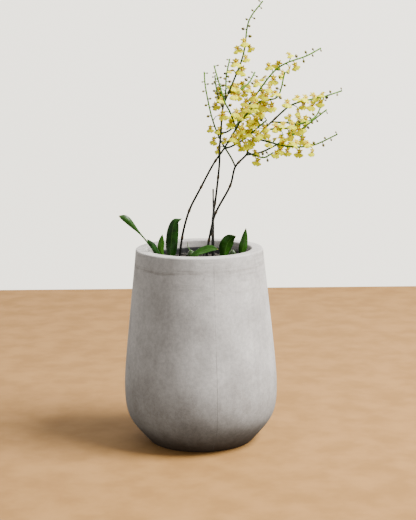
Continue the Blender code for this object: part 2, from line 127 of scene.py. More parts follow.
# Each stem's route, from its foot in the mix upwards.
STEMS = {
    "left": [
        (-0.057, -0.018, 0.510), (-0.051, -0.020, 0.562), (-0.042, -0.022, 0.610),
        (-0.025, -0.026, 0.664), (0.004, -0.030, 0.720), (0.040, -0.036, 0.787),
        (0.071, -0.040, 0.832), (0.104, -0.045, 0.886), (0.123, -0.045, 0.921),
    ],
    "middle": [
        (0.037, 0.037, 0.510), (0.037, 0.036, 0.560), (0.038, 0.036, 0.624), (0.048, 0.034, 0.692),
        (0.058, 0.030, 0.780), (0.059, 0.028, 0.828), (0.063, 0.025, 0.870),
        (0.069, 0.020, 0.939), (0.086, 0.015, 0.983), (0.100, 0.012, 1.016),
    ],
    "right": [
        (0.018, -0.003, 0.510), (0.024, -0.004, 0.556), (0.039, -0.006, 0.627), (0.053, -0.008, 0.663),
        (0.087, -0.012, 0.725), (0.102, -0.010, 0.778), (0.132, -0.012, 0.811),
        (0.142, -0.015, 0.836), (0.176, -0.020, 0.877), (0.228, -0.020, 0.926),
    ],
}

# Each flower branch: its stem, the height where it leaves, its route from there,
# its numbers of open flowers and of buds, and the share of its length that is bare.
BRANCHES = {
    "left_tip": ("left", 0.921, [(0.145, -0.050, 0.958), (0.199, -0.050, 1.031),
                                 (0.237, -0.045, 1.060), (0.295, -0.035, 1.080), (0.336, -0.030, 1.101)],
                 16, 6, 0.02),
    "left_lower": ("left", 0.832, [(0.092, -0.052, 0.839), (0.125, -0.065, 0.859), (0.186, -0.090, 0.912)],
                   16, 3, 0.22),
    "left_inner": ("left", 0.886, [(0.088, -0.062, 0.931), (0.074, -0.072, 0.958),
                                   (0.060, -0.070, 1.004), (0.045, -0.062, 1.058)], 3, 9, 0.10),
    "left_outer": ("left", 0.905, [(0.147, -0.078, 0.943), (0.176, -0.092, 0.965),
                                   (0.215, -0.100, 0.975), (0.234, -0.102, 1.040)], 9, 5, 0.05),
    "middle_tip": ("middle", 1.016, [(0.120, 0.012, 1.065), (0.130, 0.010, 1.103),
                                     (0.142, 0.008, 1.176), (0.180, 0.005, 1.229)], 7, 8, 0.05),
    "middle_lower": ("middle", 0.870, [(0.086, 0.034, 0.875), (0.137, 0.055, 0.914), (0.197, 0.080, 0.946)],
                     17, 3, 0.15),
    "middle_left": ("middle", 0.939, [(0.058, 0.022, 0.965), (0.050, 0.020, 1.002), (0.048, 0.020, 1.030)],
                    2, 7, 0.10),
    "middle_right": ("middle", 0.983, [(0.108, 0.030, 0.985), (0.140, 0.045, 1.004), (0.160, 0.055, 1.036)],
                     6, 5, 0.10),
    "middle_back": ("middle", 0.955, [(0.078, 0.045, 0.990), (0.080, 0.062, 1.026), (0.090, 0.068, 1.073)],
                    4, 9, 0.10),
    "right_tip": ("right", 0.926, [(0.252, -0.020, 0.945), (0.289, -0.015, 0.958),
                                   (0.335, -0.010, 0.966), (0.397, 0.000, 0.984)], 9, 4, 0.10),
    "right_upright": ("right", 0.778, [(0.090, 0.030, 0.802), (0.062, 0.068, 0.847),
                                       (0.039, 0.082, 0.908), (0.022, 0.085, 0.990), (0.018, 0.090, 1.037)],
                      6, 8, 0.25),
    "right_long": ("right", 0.811, [(0.176, -0.002, 0.818), (0.230, 0.000, 0.845),
                                    (0.289, 0.002, 0.882), (0.356, 0.004, 0.933)], 6, 6, 0.25),
    "right_small": ("right", 0.818, [(0.155, -0.036, 0.812), (0.180, -0.050, 0.807), (0.205, -0.058, 0.821)],
                    2, 4, 0.25),
    "right_front": ("right", 0.857, [(0.190, -0.045, 0.850), (0.243, -0.062, 0.838),
                                     (0.310, -0.066, 0.840), (0.379, -0.068, 0.870)], 8, 5, 0.20),
    "right_middle": ("right", 0.877, [(0.206, -0.038, 0.884), (0.245, -0.062, 0.888), (0.292, -0.085, 0.905)],
                     6, 2, 0.25),
    "right_outer": ("right", 0.902, [(0.243, 0.002, 0.898), (0.285, 0.030, 0.893),
                                     (0.330, 0.055, 0.912), (0.353, 0.060, 0.965)], 5, 5, 0.20),
}

# Each leaf: its midrib from the mix to the tip, its half width, the way its blade spreads,
# how wide its foot is beside its middle, where its stalk ends, and where its blade is widest.
LEAVES = {
    "long_left": ([(-0.104, -0.020, 0.511), (-0.120, -0.025, 0.537), (-0.148, -0.035, 0.578),
                   (-0.175, -0.040, 0.611), (-0.200, -0.044, 0.639), (-0.222, -0.045, 0.649)],
                  0.0100, (0.60, 0.40, 0.68), 0.22, 0.46, 0.78),
    "inner_left": ([(-0.096, -0.050, 0.511), (-0.117, -0.060, 0.548), (-0.128, -0.062, 0.568),
                    (-0.144, -0.064, 0.586)], 0.0085, (0.75, 0.35, 0.50), 0.60, 0.0, 0.50),
    "narrow_left": ([(-0.100, 0.012, 0.511), (-0.108, 0.010, 0.541), (-0.107, 0.010, 0.564),
                     (-0.104, 0.010, 0.588)], 0.0100, (1.0, 0.3, 0.0), 0.55, 0.0, 0.50),
    "tall_centre": ([(-0.081, -0.060, 0.511), (-0.080, -0.060, 0.541), (-0.077, -0.060, 0.575),
                     (-0.073, -0.060, 0.608), (-0.065, -0.058, 0.633), (-0.047, -0.056, 0.641)],
                    0.0180, (1.0, -0.25, 0.0), 0.60, 0.0, 0.42),
    "curled": ([(0.000, -0.038, 0.511), (-0.006, -0.039, 0.538), (-0.023, -0.040, 0.549),
                (-0.031, -0.040, 0.560), (-0.033, -0.040, 0.574)], 0.0030, (0.3, 1.0, 0.0), 0.80, 0.0, 0.40),
    "low_front": ([(-0.030, -0.092, 0.511), (-0.016, -0.092, 0.541), (0.010, -0.091, 0.556),
                   (0.032, -0.090, 0.562), (0.052, -0.090, 0.560)], 0.0115, (-0.2, 0.6, 0.75), 0.45, 0.0, 0.60),
    "broad_right": ([(0.068, -0.040, 0.511), (0.071, -0.040, 0.541), (0.076, -0.040, 0.563),
                     (0.086, -0.041, 0.579), (0.102, -0.042, 0.589)], 0.0205, (0.95, 0.25, 0.0), 0.45, 0.0, 0.55),
    "small_right": ([(0.116, 0.000, 0.511), (0.121, 0.000, 0.541), (0.126, 0.000, 0.568),
                     (0.131, 0.000, 0.605)], 0.0125, (1.0, 0.15, 0.0), 0.40, 0.0, 0.45),
}

# How light each leaf is, from 0, dark green, to 1.
LEAF_TONES = {"long_left": 0.30, "inner_left": 0.0, "narrow_left": 0.75, "tall_centre": 0.05, "curled": 0.60,
              "low_front": 0.30, "broad_right": 0.22, "small_right": 0.35}

BULBS = ("left", "centre", "front", "right")

# ---------------------------------------------------------------- node helpers


def new_group(name, inputs, outputs):
    """An empty shader group with named inputs (name, kind, value) and outputs (name, kind)."""
    group = bpy.data.node_groups.new(name, "ShaderNodeTree")
    for label, kind, value in inputs:
        socket = group.interface.new_socket(label, in_out="INPUT", socket_type="NodeSocket" + kind)
        if value is not None:
            socket.default_value = value
    for label, kind in outputs:
        group.interface.new_socket(label, in_out="OUTPUT", socket_type="NodeSocket" + kind)
    return group, group.nodes.new("NodeGroupInput"), group.nodes.new("NodeGroupOutput")


def feed(tree, node, **values):
    """Gives inputs of a node their values or links. An input is named, or numbered from _0."""
    for key, value in values.items():
        socket = node.inputs[int(key[1:])] if key[0] == "_" else node.inputs[key.replace("_", " ")]
        if isinstance(value, bpy.types.NodeSocket):
            tree.links.new(value, socket)
        else:
            socket.default_value = value


def add(tree, kind, settings=None, **values):
    """A node of a kind, with its own settings and with values or links for its inputs."""
    node = tree.nodes.new(kind)
    for key, value in (settings or {}).items():
        setattr(node, key, value)
    feed(tree, node, **values)
    return node


def maths(tree, operation, first, second=0.0, clamp=False):
    """The result of a Math node."""
    settings = {"operation": operation, "use_clamp": clamp}
    return add(tree, "ShaderNodeMath", settings, _0=first, _1=second).outputs[0]


def blend_colour(tree, share, first, second, kind="MIX"):
    """Two colours mixed by a share."""
    settings = {"data_type": "RGBA", "blend_type": kind}
    return add(tree, "ShaderNodeMix", settings, _0=share, _6=first, _7=second).outputs[2]


def laid_over(tree, colour, mask, strength, over):
    """A colour with another laid over it, as thickly as a mask times a strength."""
    return blend_colour(tree, maths(tree, "MULTIPLY", mask, strength), colour, over)


def between(tree, value, low, high, low_out=0.0, high_out=1.0):
    """A value turned from one range to another, smoothly and with its ends held."""
    settings = {"interpolation_type": "SMOOTHSTEP"}
    return add(tree, "ShaderNodeMapRange", settings, Value=value, From_Min=low, From_Max=high,
               To_Min=low_out, To_Max=high_out).outputs[0]


def noise_value(tree, place, scale, detail=3.0, roughness=0.55, distortion=0.0):
    """The value of a Noise texture."""
    return add(tree, "ShaderNodeTexNoise", Vector=place, Scale=scale, Detail=detail,
               Roughness=roughness, Distortion=distortion).outputs[0]


def stretched(tree, place, scale):
    """A place stretched by a Mapping node."""
    return add(tree, "ShaderNodeMapping", Vector=place, Scale=scale).outputs[0]


def rgb(red, green, blue):
    """An opaque colour."""
    return (red, green, blue, 1.0)


def soft_mottle_group():
    """Cloudy tone, with fine streaks that run down the piece. Out comes a mask round 0.5."""
    group, inner, outer = new_group(
        "soft_mottle",
        [("Place", "Vector", None), ("Cloud Scale", "Float", 5.0), ("Streak Scale", "Float", 60.0),
         ("Streak Share", "Float", 0.4)],
        [("Mask", "Float")],
    )
    cloud = noise_value(group, inner.outputs["Place"], inner.outputs["Cloud Scale"], 4.0, 0.6)
    upright = stretched(group, inner.outputs["Place"], (1.0, 1.0, 0.14))
    streak = noise_value(group, upright, inner.outputs["Streak Scale"], 4.0, 0.65)
    share = inner.outputs["Streak Share"]
    cloud_part = maths(group, "MULTIPLY", cloud, maths(group, "SUBTRACT", 1.0, share))
    total = maths(group, "ADD", cloud_part, maths(group, "MULTIPLY", streak, share))
    group.links.new(total, outer.inputs["Mask"])
    return group


def pin_hole_group():
    """Scattered small round holes. Out come a mask, 1 in a hole, and a height for a bump."""
    group, inner, outer = new_group(
        "pin_holes",
        [("Place", "Vector", None), ("Scale", "Float", 90.0), ("Size", "Float", 0.12),
         ("Rarity", "Float", 0.6)],
        [("Mask", "Float"), ("Height", "Float")],
    )
    cells = add(group, "ShaderNodeTexVoronoi", {"feature": "F1"}, Vector=inner.outputs["Place"],
                Scale=inner.outputs["Scale"])
    luck = add(group, "ShaderNodeSeparateColor", Color=cells.outputs["Color"]).outputs[0]
    picked = maths(group, "GREATER_THAN", luck, inner.outputs["Rarity"])
    size = inner.outputs["Size"]
    hole = between(group, cells.outputs["Distance"], maths(group, "MULTIPLY", size, 0.55), size, 1.0, 0.0)
    mask = maths(group, "MULTIPLY", hole, picked)
    group.links.new(mask, outer.inputs["Mask"])
    group.links.new(maths(group, "SUBTRACT", 1.0, mask), outer.inputs["Height"])
    return group


def fine_grain_group():
    """A height for a bump: fine even grain over a coarser one."""
    group, inner, outer = new_group(
        "fine_grain",
        [("Place", "Vector", None), ("Scale", "Float", 400.0)],
        [("Height", "Float")],
    )
    fine = noise_value(group, inner.outputs["Place"], inner.outputs["Scale"], 3.0, 0.7)
    coarse = noise_value(group, inner.outputs["Place"],
                         maths(group, "MULTIPLY", inner.outputs["Scale"], 0.2), 3.0, 0.6)
    total = maths(group, "ADD", maths(group, "MULTIPLY", fine, 0.6), maths(group, "MULTIPLY", coarse, 0.4))
    group.links.new(total, outer.inputs["Height"])
    return group


def low_dirt_and_shade_group():
    """A ragged mask low down, for painted shade on the lower flank and for dirt with painted contact shade at the
    foot. Out comes a mask, 1 where it lies thickest.
    """
    group, inner, outer = new_group(
        "low_dirt_and_shade",
        [("Place", "Vector", None), ("Floor", "Float", 0.0), ("Reach", "Float", 0.1)],
        [("Mask", "Float")],
    )
    height = add(group, "ShaderNodeSeparateXYZ", Vector=inner.outputs["Place"]).outputs[2]
    ragged = maths(group, "MULTIPLY", noise_value(group, inner.outputs["Place"], 24.0, 4.0), 0.4)
    above = maths(group, "SUBTRACT", height, inner.outputs["Floor"])
    share = maths(group, "DIVIDE", above, inner.outputs["Reach"])
    mask = between(group, maths(group, "ADD", share, maths(group, "SUBTRACT", ragged, 0.2)), 0.0, 1.0, 1.0, 0.0)
    group.links.new(mask, outer.inputs["Mask"])
    return group


MOTTLE = soft_mottle_group()
PIN_HOLES = pin_hole_group()
GRAIN = fine_grain_group()
LOW_DIRT_AND_SHADE = low_dirt_and_shade_group()


def use(tree, group, **values):
    """A group placed in a material."""
    return add(tree, "ShaderNodeGroup", {"node_tree": group}, **values)


def new_material(name):
    """A material with its node tree, its Principled shader and the Object coordinates."""
    made = bpy.data.materials.new(name)
    made.use_nodes = True
    tree = made.node_tree
    shader = tree.nodes["Principled BSDF"]
    place = tree.nodes.new("ShaderNodeTexCoord").outputs["Object"]
    return made, tree, shader, place


def finish_shader(tree, shader, colour, roughness, height, bump, distance, **others):
    """Gives the shader its colour, its roughness, a bump from a height, and its other inputs."""
    relief = add(tree, "ShaderNodeBump", Height=height, Strength=bump, Distance=distance).outputs[0]
    feed(tree, shader, Base_Color=colour, Roughness=roughness, Normal=relief, **others)


def sheet_place(tree):
    """A node that gives the place across a leaf or petal, and then along it, each from 0 to 1."""
    return add(tree, "ShaderNodeSeparateXYZ", Vector=tree.nodes.new("ShaderNodeUVMap").outputs[0])


def attribute(tree, name):
    """The value of one of the piece's own attributes."""
    return add(tree, "ShaderNodeAttribute", {"attribute_name": name}).outputs["Fac"]


# ---------------------------------------------------------------- materials


def cast_concrete():
    """Pale warm grey cast concrete: clouds, fine upright streaks, smears near the rim, pin holes."""
    made, tree, shader, place = new_material("cast_concrete")
    mottle = use(tree, MOTTLE, Place=place, Cloud_Scale=7.5, Streak_Scale=42.0, Streak_Share=0.22).outputs[0]
    tone = between(tree, mottle, 0.34, 0.66)
    colour = blend_colour(tree, tone, rgb(0.356, 0.331, 0.312), rgb(0.522, 0.491, 0.467))
    level = add(tree, "ShaderNodeSeparateXYZ", Vector=place).outputs[2]
    # Dark smears left by the float, level with the rim.
    smear_place = stretched(tree, place, (5.0, 5.0, 62.0))
    smear = between(tree, noise_value(tree, smear_place, 1.0, 5.0, 0.7), 0.47, 0.68)
    near_rim = between(tree, level, 0.40, 0.52)
    colour = laid_over(tree, colour, maths(tree, "MULTIPLY", smear, near_rim), 0.62, rgb(0.210, 0.188, 0.164))
    # The worn rim, then painted shade that darkens the flank towards the floor, then a brown bloom at the foot that
    # is dirt with painted contact shade and painted brown bounce light.
    patchy = between(tree, mottle, 0.25, 0.60)
    colour = laid_over(tree, colour, attribute(tree, "wear"), patchy, rgb(0.425, 0.402, 0.382))
    # Painted shade: the lower flank darker towards the floor.
    low_painted_shade = use(tree, LOW_DIRT_AND_SHADE, Place=place, Floor=0.02, Reach=0.26).outputs[0]
    colour = laid_over(tree, colour, low_painted_shade, 0.72, rgb(0.136, 0.112, 0.088))
    # Dirt at the foot, with painted contact shade and painted brown bounce light from the floor.
    foot = use(tree, LOW_DIRT_AND_SHADE, Place=place, Floor=0.0, Reach=0.075).outputs[0]
    colour = laid_over(tree, colour, foot, 0.90, rgb(0.074, 0.038, 0.013))
    # Dirt in the parting line, and in the pin holes dirt with painted shade, as the holes are only a bump; then a
    # fine speckle over all of it.
    colour = laid_over(tree, colour, attribute(tree, "seam"), 0.58, rgb(0.180, 0.165, 0.150))
    holes = use(tree, PIN_HOLES, Place=place, Scale=85.0, Size=0.11, Rarity=0.93)
    # Painted shade in the pin holes, which have no depth of their own, with dirt in them.
    colour = laid_over(tree, colour, holes.outputs["Mask"], 0.75, rgb(0.120, 0.110, 0.100))
    grain = use(tree, GRAIN, Place=place, Scale=520.0).outputs[0]
    speckle = between(tree, grain, 0.38, 0.62, 0.84, 1.12)
    grey = add(tree, "ShaderNodeCombineColor", _0=speckle, _1=speckle, _2=speckle).outputs[0]
    colour = blend_colour(tree, 1.0, colour, grey, "MULTIPLY")
    roughness = between(tree, mottle, 0.3, 0.7, 0.90, 0.74)
    height = maths(tree, "ADD", grain, maths(tree, "MULTIPLY", holes.outputs["Height"], 2.0))
    height = maths(tree, "ADD", height, maths(tree, "MULTIPLY", mottle, 0.8))
    finish_shader(tree, shader, colour, roughness, height, bump=0.35, distance=0.0008, Specular_IOR_Level=0.35)
    return made


def pot_plastic():
    """Thin black nursery plastic, dusty and scuffed."""
    made, tree, shader, place = new_material("pot_plastic")
    mottle = use(tree, MOTTLE, Place=place, Cloud_Scale=14.0, Streak_Scale=120.0, Streak_Share=0.5).outputs[0]
    scuff = between(tree, mottle, 0.45, 0.70)
    colour = laid_over(tree, rgb(0.006, 0.006, 0.007), scuff, 0.5, rgb(0.022, 0.021, 0.019))
    roughness = between(tree, mottle, 0.3, 0.7, 0.30, 0.58)
    grain = use(tree, GRAIN, Place=place, Scale=900.0).outputs[0]
    finish_shader(tree, shader, colour, roughness, grain, bump=0.12, distance=0.0004)
    return made


def plug_rubber():
    """Matt black rubber with a pale bloom."""
    made, tree, shader, place = new_material("plug_rubber")
    bloom = between(tree, noise_value(tree, place, 180.0, 4.0), 0.40, 0.75)
    colour = blend_colour(tree, bloom, rgb(0.018, 0.018, 0.018), rgb(0.060, 0.058, 0.055))
    roughness = between(tree, bloom, 0.0, 1.0, 0.62, 0.85)
    grain = use(tree, GRAIN, Place=place, Scale=1500.0).outputs[0]
    finish_shader(tree, shader, colour, roughness, grain, bump=0.15, distance=0.0003)
    return made


def bark_chips():
    """Dark damp bark, darkened further by painted shade of the deep pot, each chip with its own tone and with fine
    fibres.
    """
    made, tree, shader, place = new_material("bark_chips")
    chip = attribute(tree, "chip_tone")
    fibre = noise_value(tree, stretched(tree, place, (1.0, 0.25, 1.0)), 420.0, 4.0, 0.7)
    share = maths(tree, "ADD", maths(tree, "MULTIPLY", chip, 0.7), maths(tree, "MULTIPLY", fibre, 0.45))
    tone = between(tree, share, 0.15, 1.0)
    # Near black: the bark's own dark colour with painted shade of the pot's inside.
    colour = blend_colour(tree, tone, rgb(0.003, 0.002, 0.002), rgb(0.020, 0.012, 0.007))
    moss = between(tree, noise_value(tree, place, 38.0, 3.0), 0.62, 0.74)
    colour = laid_over(tree, colour, moss, 0.55, rgb(0.010, 0.018, 0.004))
    roughness = between(tree, fibre, 0.3, 0.7, 0.62, 0.92)
    finish_shader(tree, shader, colour, roughness, fibre, bump=0.6, distance=0.0008)
    return made


def stake_finish():
    """A dark plastic-coated stake, its coat rubbed in places."""
    made, tree, shader, place = new_material("stake_coat")
    rubbed = between(tree, noise_value(tree, stretched(tree, place, (1.0, 1.0, 0.2)), 160.0, 4.0), 0.55, 0.75)
    colour = blend_colour(tree, rubbed, rgb(0.010, 0.011, 0.009), rgb(0.050, 0.048, 0.036))
    roughness = between(tree, rubbed, 0.0, 1.0, 0.42, 0.70)
    grain = use(tree, GRAIN, Place=place, Scale=1200.0).outputs[0]
    finish_shader(tree, shader, colour, roughness, grain, bump=0.2, distance=0.0003)
    return made


def stem_skin():
    """Stem skin: near black at the foot, green above, with brown papery sheaths at its joints."""
    made, tree, shader, place = new_material("stem_skin")
    along = attribute(tree, "along")
    fleck = noise_value(tree, stretched(tree, place, (1.0, 1.0, 0.3)), 700.0, 3.0, 0.7)
    share = maths(tree, "ADD", along, maths(tree, "MULTIPLY", maths(tree, "SUBTRACT", fleck, 0.5), 0.35))
    ramp = add(tree, "ShaderNodeValToRGB", Fac=share)
    stops = ramp.color_ramp.elements
    stops[0].color = rgb(0.003, 0.003, 0.002)
    stops[1].color = rgb(0.130, 0.300, 0.014)
    stops.new(0.42).color = rgb(0.005, 0.008, 0.002)
    stops.new(0.70).color = rgb(0.014, 0.042, 0.002)
    colour = blend_colour(tree, attribute(tree, "sheath"), ramp.outputs[0], rgb(0.060, 0.040, 0.018))
    roughness = between(tree, fleck, 0.3, 0.7, 0.42, 0.62)
    finish_shader(tree, shader, colour, roughness, fleck, bump=0.25, distance=0.0003, Specular_IOR_Level=0.25)
    return made


def leaf_blade():
    """Glossy leaf: a pale midrib, fine long veins, a straw tip, and lighter towards its foot."""
    made, tree, shader, place = new_material("leaf_blade")
    parts = sheet_place(tree)
    across = maths(tree, "ABSOLUTE", maths(tree, "SUBTRACT", parts.outputs[0], 0.5))
    midrib = between(tree, across, 0.0, 0.035, 1.0, 0.0)
    veins = maths(tree, "SINE", maths(tree, "MULTIPLY", parts.outputs[0], 150.0))
    veins = maths(tree, "ADD", maths(tree, "MULTIPLY", veins, 0.5), 0.5)
    cloud = noise_value(tree, place, 70.0, 4.0, 0.6)
    clouded = between(tree, cloud, 0.35, 0.68)
    colour = blend_colour(tree, clouded, rgb(0.001, 0.011, 0.001), rgb(0.004, 0.040, 0.001))
    colour = blend_colour(tree, attribute(tree, "tone"), colour, rgb(0.045, 0.140, 0.012))
    colour = laid_over(tree, colour, veins, 0.08, rgb(0.060, 0.130, 0.020))
    colour = laid_over(tree, colour, midrib, 0.45, rgb(0.090, 0.170, 0.035))
    tip = between(tree, parts.outputs[1], 0.94, 1.0)
    colour = laid_over(tree, colour, tip, 0.7, rgb(0.240, 0.200, 0.050))
    height = maths(tree, "SUBTRACT", maths(tree, "MULTIPLY", cloud, 0.6), midrib)
    roughness = between(tree, cloud, 0.3, 0.7, 0.20, 0.32)
    finish_shader(tree, shader, colour, roughness, height, bump=0.25, distance=0.0005, Specular_IOR_Level=0.20)
    return made


def bulb_skin():
    """Ribbed green bulbs, browning into a papery sheath at the foot."""
    made, tree, shader, place = new_material("bulb_skin")
    cloud = noise_value(tree, place, 90.0, 4.0, 0.6)
    clouded = between(tree, cloud, 0.35, 0.65)
    colour = blend_colour(tree, clouded, rgb(0.010, 0.030, 0.003), rgb(0.030, 0.070, 0.008))
    papery = maths(tree, "MULTIPLY", attribute(tree, "sheath"), between(tree, cloud, 0.30, 0.55))
    colour = blend_colour(tree, papery, colour, rgb(0.090, 0.060, 0.028))
    fibre = noise_value(tree, stretched(tree, place, (1.0, 1.0, 0.12)), 600.0, 3.0)
    roughness = between(tree, papery, 0.0, 1.0, 0.35, 0.75)
    finish_shader(tree, shader, colour, roughness, fibre, bump=0.35, distance=0.0005)
    return made


def petal_yellow():
    """Clear yellow petals: red-brown bars on the narrow ones and a red-brown heart."""
    made, tree, shader, place = new_material("petal_yellow")
    parts = sheet_place(tree)
    cloud = noise_value(tree, place, 260.0, 3.0, 0.6)
    clouded = between(tree, cloud, 0.3, 0.7)
    colour = blend_colour(tree, clouded, rgb(0.780, 0.650, 0.000), rgb(0.900, 0.830, 0.000))
    along = maths(tree, "MULTIPLY", parts.outputs[1], 20.0)
    wavy = maths(tree, "ADD", along, maths(tree, "MULTIPLY", cloud, 5.0))
    bars = between(tree, maths(tree, "SINE", wavy), -0.30, 0.25)
    barred = maths(tree, "MULTIPLY", bars, attribute(tree, "barred"))
    colour = laid_over(tree, colour, barred, 0.92, rgb(0.270, 0.066, 0.004))
    colour = laid_over(tree, colour, attribute(tree, "heart"), 0.90, rgb(0.360, 0.050, 0.004))
    roughness = between(tree, cloud, 0.3, 0.7, 0.42, 0.60)
    # Light passes through them and comes out yellow.
    finish_shader(tree, shader, colour, roughness, cloud, bump=0.2, distance=0.0003, Specular_IOR_Level=0.12,
                  Subsurface_Weight=0.74, Subsurface_Radius=(1.0, 0.75, 0.05), Subsurface_Scale=0.004)
    return made


def bud_skin():
    """Olive buds with a brown flush and a yellow tip."""
    made, tree, shader, place = new_material("bud_skin")
    cloud = noise_value(tree, place, 320.0, 3.0, 0.6)
    clouded = between(tree, cloud, 0.35, 0.65)
    colour = blend_colour(tree, clouded, rgb(0.060, 0.035, 0.004), rgb(0.110, 0.120, 0.010))
    tip = between(tree, attribute(tree, "along"), 0.4, 1.0)
    colour = blend_colour(tree, tip, colour, rgb(0.240, 0.200, 0.010))
    roughness = between(tree, cloud, 0.3, 0.7, 0.38, 0.58)
    finish_shader(tree, shader, colour, roughness, cloud, bump=0.2, distance=0.0003)
    return made


CONCRETE = cast_concrete()
PLASTIC = pot_plastic()
RUBBER = plug_rubber()
BARK = bark_chips()
STAKE_COAT = stake_finish()
STEM_SKIN = stem_skin()
LEAF_BLADE = leaf_blade()
BULB_SKIN = bulb_skin()
PETAL = petal_yellow()
BUD_SKIN = bud_skin()

# ---------------------------------------------------------------- mesh helpers


def mesh_of(bm, name):
    """The mesh of a bmesh, which is then freed."""
    mesh = bpy.data.meshes.new(name)
    bm.to_mesh(mesh)
    bm.free()
    return mesh


def linked(name, data):
    """An object of a mesh, a light or a camera, in the scene."""
    obj = bpy.data.objects.new(name, data)
    bpy.context.scene.collection.objects.link(obj)
    return obj


def vert_layers(bm, labels):
    """New attributes of a bmesh's points, which its finish reads."""
    for label in labels:
        bm.verts.layers.float.new(label)
    return [bm.verts.layers.float[label] for label in labels]


def face_outwards(bm):
    """Turns every face of a bmesh outwards."""
    bmesh.ops.recalc_face_normals(bm, faces=bm.faces)


def finished(name, bm, finish, body, nodes=(), smooth_angle=35.0):
    """The object of a bmesh, shaded smooth with sharp edges, on its body and for its CAD nodes."""
    mesh = mesh_of(bm, name)
    mesh.shade_smooth()
    mesh.set_sharp_from_angle(angle=math.radians(smooth_angle))
    mesh.materials.append(finish)
    obj = linked(name, mesh)
    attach(obj, body)
    if nodes:
        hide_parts(*nodes)
    return obj


def spun(profile, steps):
    """A bmesh spun about Z from a profile of (radius, height), closed and facing out."""
    bm = bmesh.new()
    line = [bm.verts.new((radius, 0.0, height)) for radius, height in profile]
    edges = [bm.edges.new(pair) for pair in zip(line, line[1:])]
    bmesh.ops.spin(bm, geom=line + edges, cent=(0, 0, 0), axis=(0, 0, 1), dvec=(0, 0, 0),
                   angle=math.tau, steps=steps, use_merge=True, use_duplicate=False)
    bmesh.ops.remove_doubles(bm, verts=bm.verts, dist=0.00001)
    face_outwards(bm)
    return bm


def arc(before, corner, after, radius, segments=5):
    """Points of an arc that rounds the corner between two straight stretches."""
    corner = Vector(corner)
    to_before = (Vector(before) - corner).normalized()
    to_after = (Vector(after) - corner).normalized()
    half_angle = to_before.angle(to_after) / 2
    reach = radius / math.tan(half_angle)
    centre = corner + (to_before + to_after).normalized() * (radius / math.sin(half_angle))
    start = corner + to_before * reach - centre
    end = corner + to_after * reach - centre
    return [tuple(centre + start.slerp(end, step / segments) * radius) for step in range(segments + 1)]


def rounded(corners_and_radii):
    """A profile whose corners (radius, height, rounding) are rounded where they have a rounding."""
    profile = []
    last = len(corners_and_radii) - 1
    for number, (r, z, rounding) in enumerate(corners_and_radii):
        if rounding and 0 < number < last:
            before = corners_and_radii[number - 1][:2]
            after = corners_and_radii[number + 1][:2]
            profile += arc(before, (r, z), after, rounding, 4)
        else:
            profile.append((r, z))
    return profile


def drilled(bm, places, radius, low, high):
    """A bmesh with upright round holes cut through it between two heights."""
    drill_bm = bmesh.new()
    for x, y in places:
        spot = Matrix.Translation((x, y, (low + high) / 2))
        bmesh.ops.create_cone(drill_bm, cap_ends=True, segments=32, radius1=radius, radius2=radius,
                              depth=high - low, matrix=spot)
    blank = linked("blank", mesh_of(bm, "blank"))
    drill = linked("drill", mesh_of(drill_bm, "drill"))
    cut = blank.modifiers.new("cut", "BOOLEAN")
    cut.operation = "DIFFERENCE"
    cut.object = drill
    graph = bpy.context.evaluated_depsgraph_get()
    cut_mesh = bpy.data.meshes.new_from_object(blank.evaluated_get(graph))
    result = bmesh.new()
    result.from_mesh(cut_mesh)
    for obj in (blank, drill):
        bpy.data.objects.remove(obj)
    bpy.data.meshes.remove(cut_mesh)
    return result


def ease(value):
    """A share from 0 to 1, eased at both ends."""
    value = max(0.0, min(1.0, value))
    return value * value * (3 - 2 * value)


def smooth_route(points, count):
    """A smooth curve through given points, as count evenly timed points."""
    knots = [Vector(point) for point in points]
    spans = len(knots) - 1
    route = []
    for step in range(count):
        at = step * spans / (count - 1)
        span = min(int(at), spans - 1)
        t = at - span
        here, there = knots[span], knots[span + 1]
        before = knots[span - 1] if span else here * 2 - there
        after = knots[span + 2] if span + 2 <= spans else there * 2 - here
        leave = (there - before) / 2
        arrive = (after - here) / 2
        route.append(here * (2 * t**3 - 3 * t**2 + 1) + leave * (t**3 - 2 * t**2 + t)
                     + there * (3 * t**2 - 2 * t**3) + arrive * (t**3 - t**2))
    return route


def lengths_along(route):
    """How far along a route each of its points is."""
    lengths = [0.0]
    for here, there in zip(route, route[1:]):
        lengths.append(lengths[-1] + (there - here).length)
    return lengths


def sweep(bm, route, radii, sides, marks=()):
    """Extrudes a ring along a route, with a radius at each point, and closes both ends.

    Marks are (layer, value at each point of the route) for the ring's own attributes.
    """
    across = Vector((0.3, -0.8, 0.1))
    last = len(route) - 1
    former = edges = ring = None
    for number, (spot, radius) in enumerate(zip(route, radii)):
        ahead = (route[min(number + 1, last)] - route[max(number - 1, 0)]).normalized()
        across = (across - ahead * across.dot(ahead)).normalized()
        turn = Matrix((across, ahead.cross(across), ahead)).transposed().to_4x4()
        frame_here = Matrix.Translation(spot) @ turn @ Matrix.Scale(radius, 4)
        if former is None:
            made = bmesh.ops.create_circle(bm, cap_ends=True, segments=sides, radius=1.0, matrix=frame_here)
            ring = list(made["verts"])
            edges = list({edge for vert in ring for edge in vert.link_edges})
        else:
            made = bmesh.ops.extrude_edge_only(bm, edges=edges)
            ring = [item for item in made["geom"] if isinstance(item, bmesh.types.BMVert)]
            edges = [item for item in made["geom"] if isinstance(item, bmesh.types.BMEdge)
                     and item.verts[0] in ring and item.verts[1] in ring]
            bmesh.ops.transform(bm, matrix=frame_here @ former.inverted(), verts=ring)
        former = frame_here
        for layer, values in marks:
            for vert in ring:
                vert[layer] = values[number]
    bmesh.ops.contextual_create(bm, geom=edges)


# ---------------------------------------------------------------- the planter and what is inside it


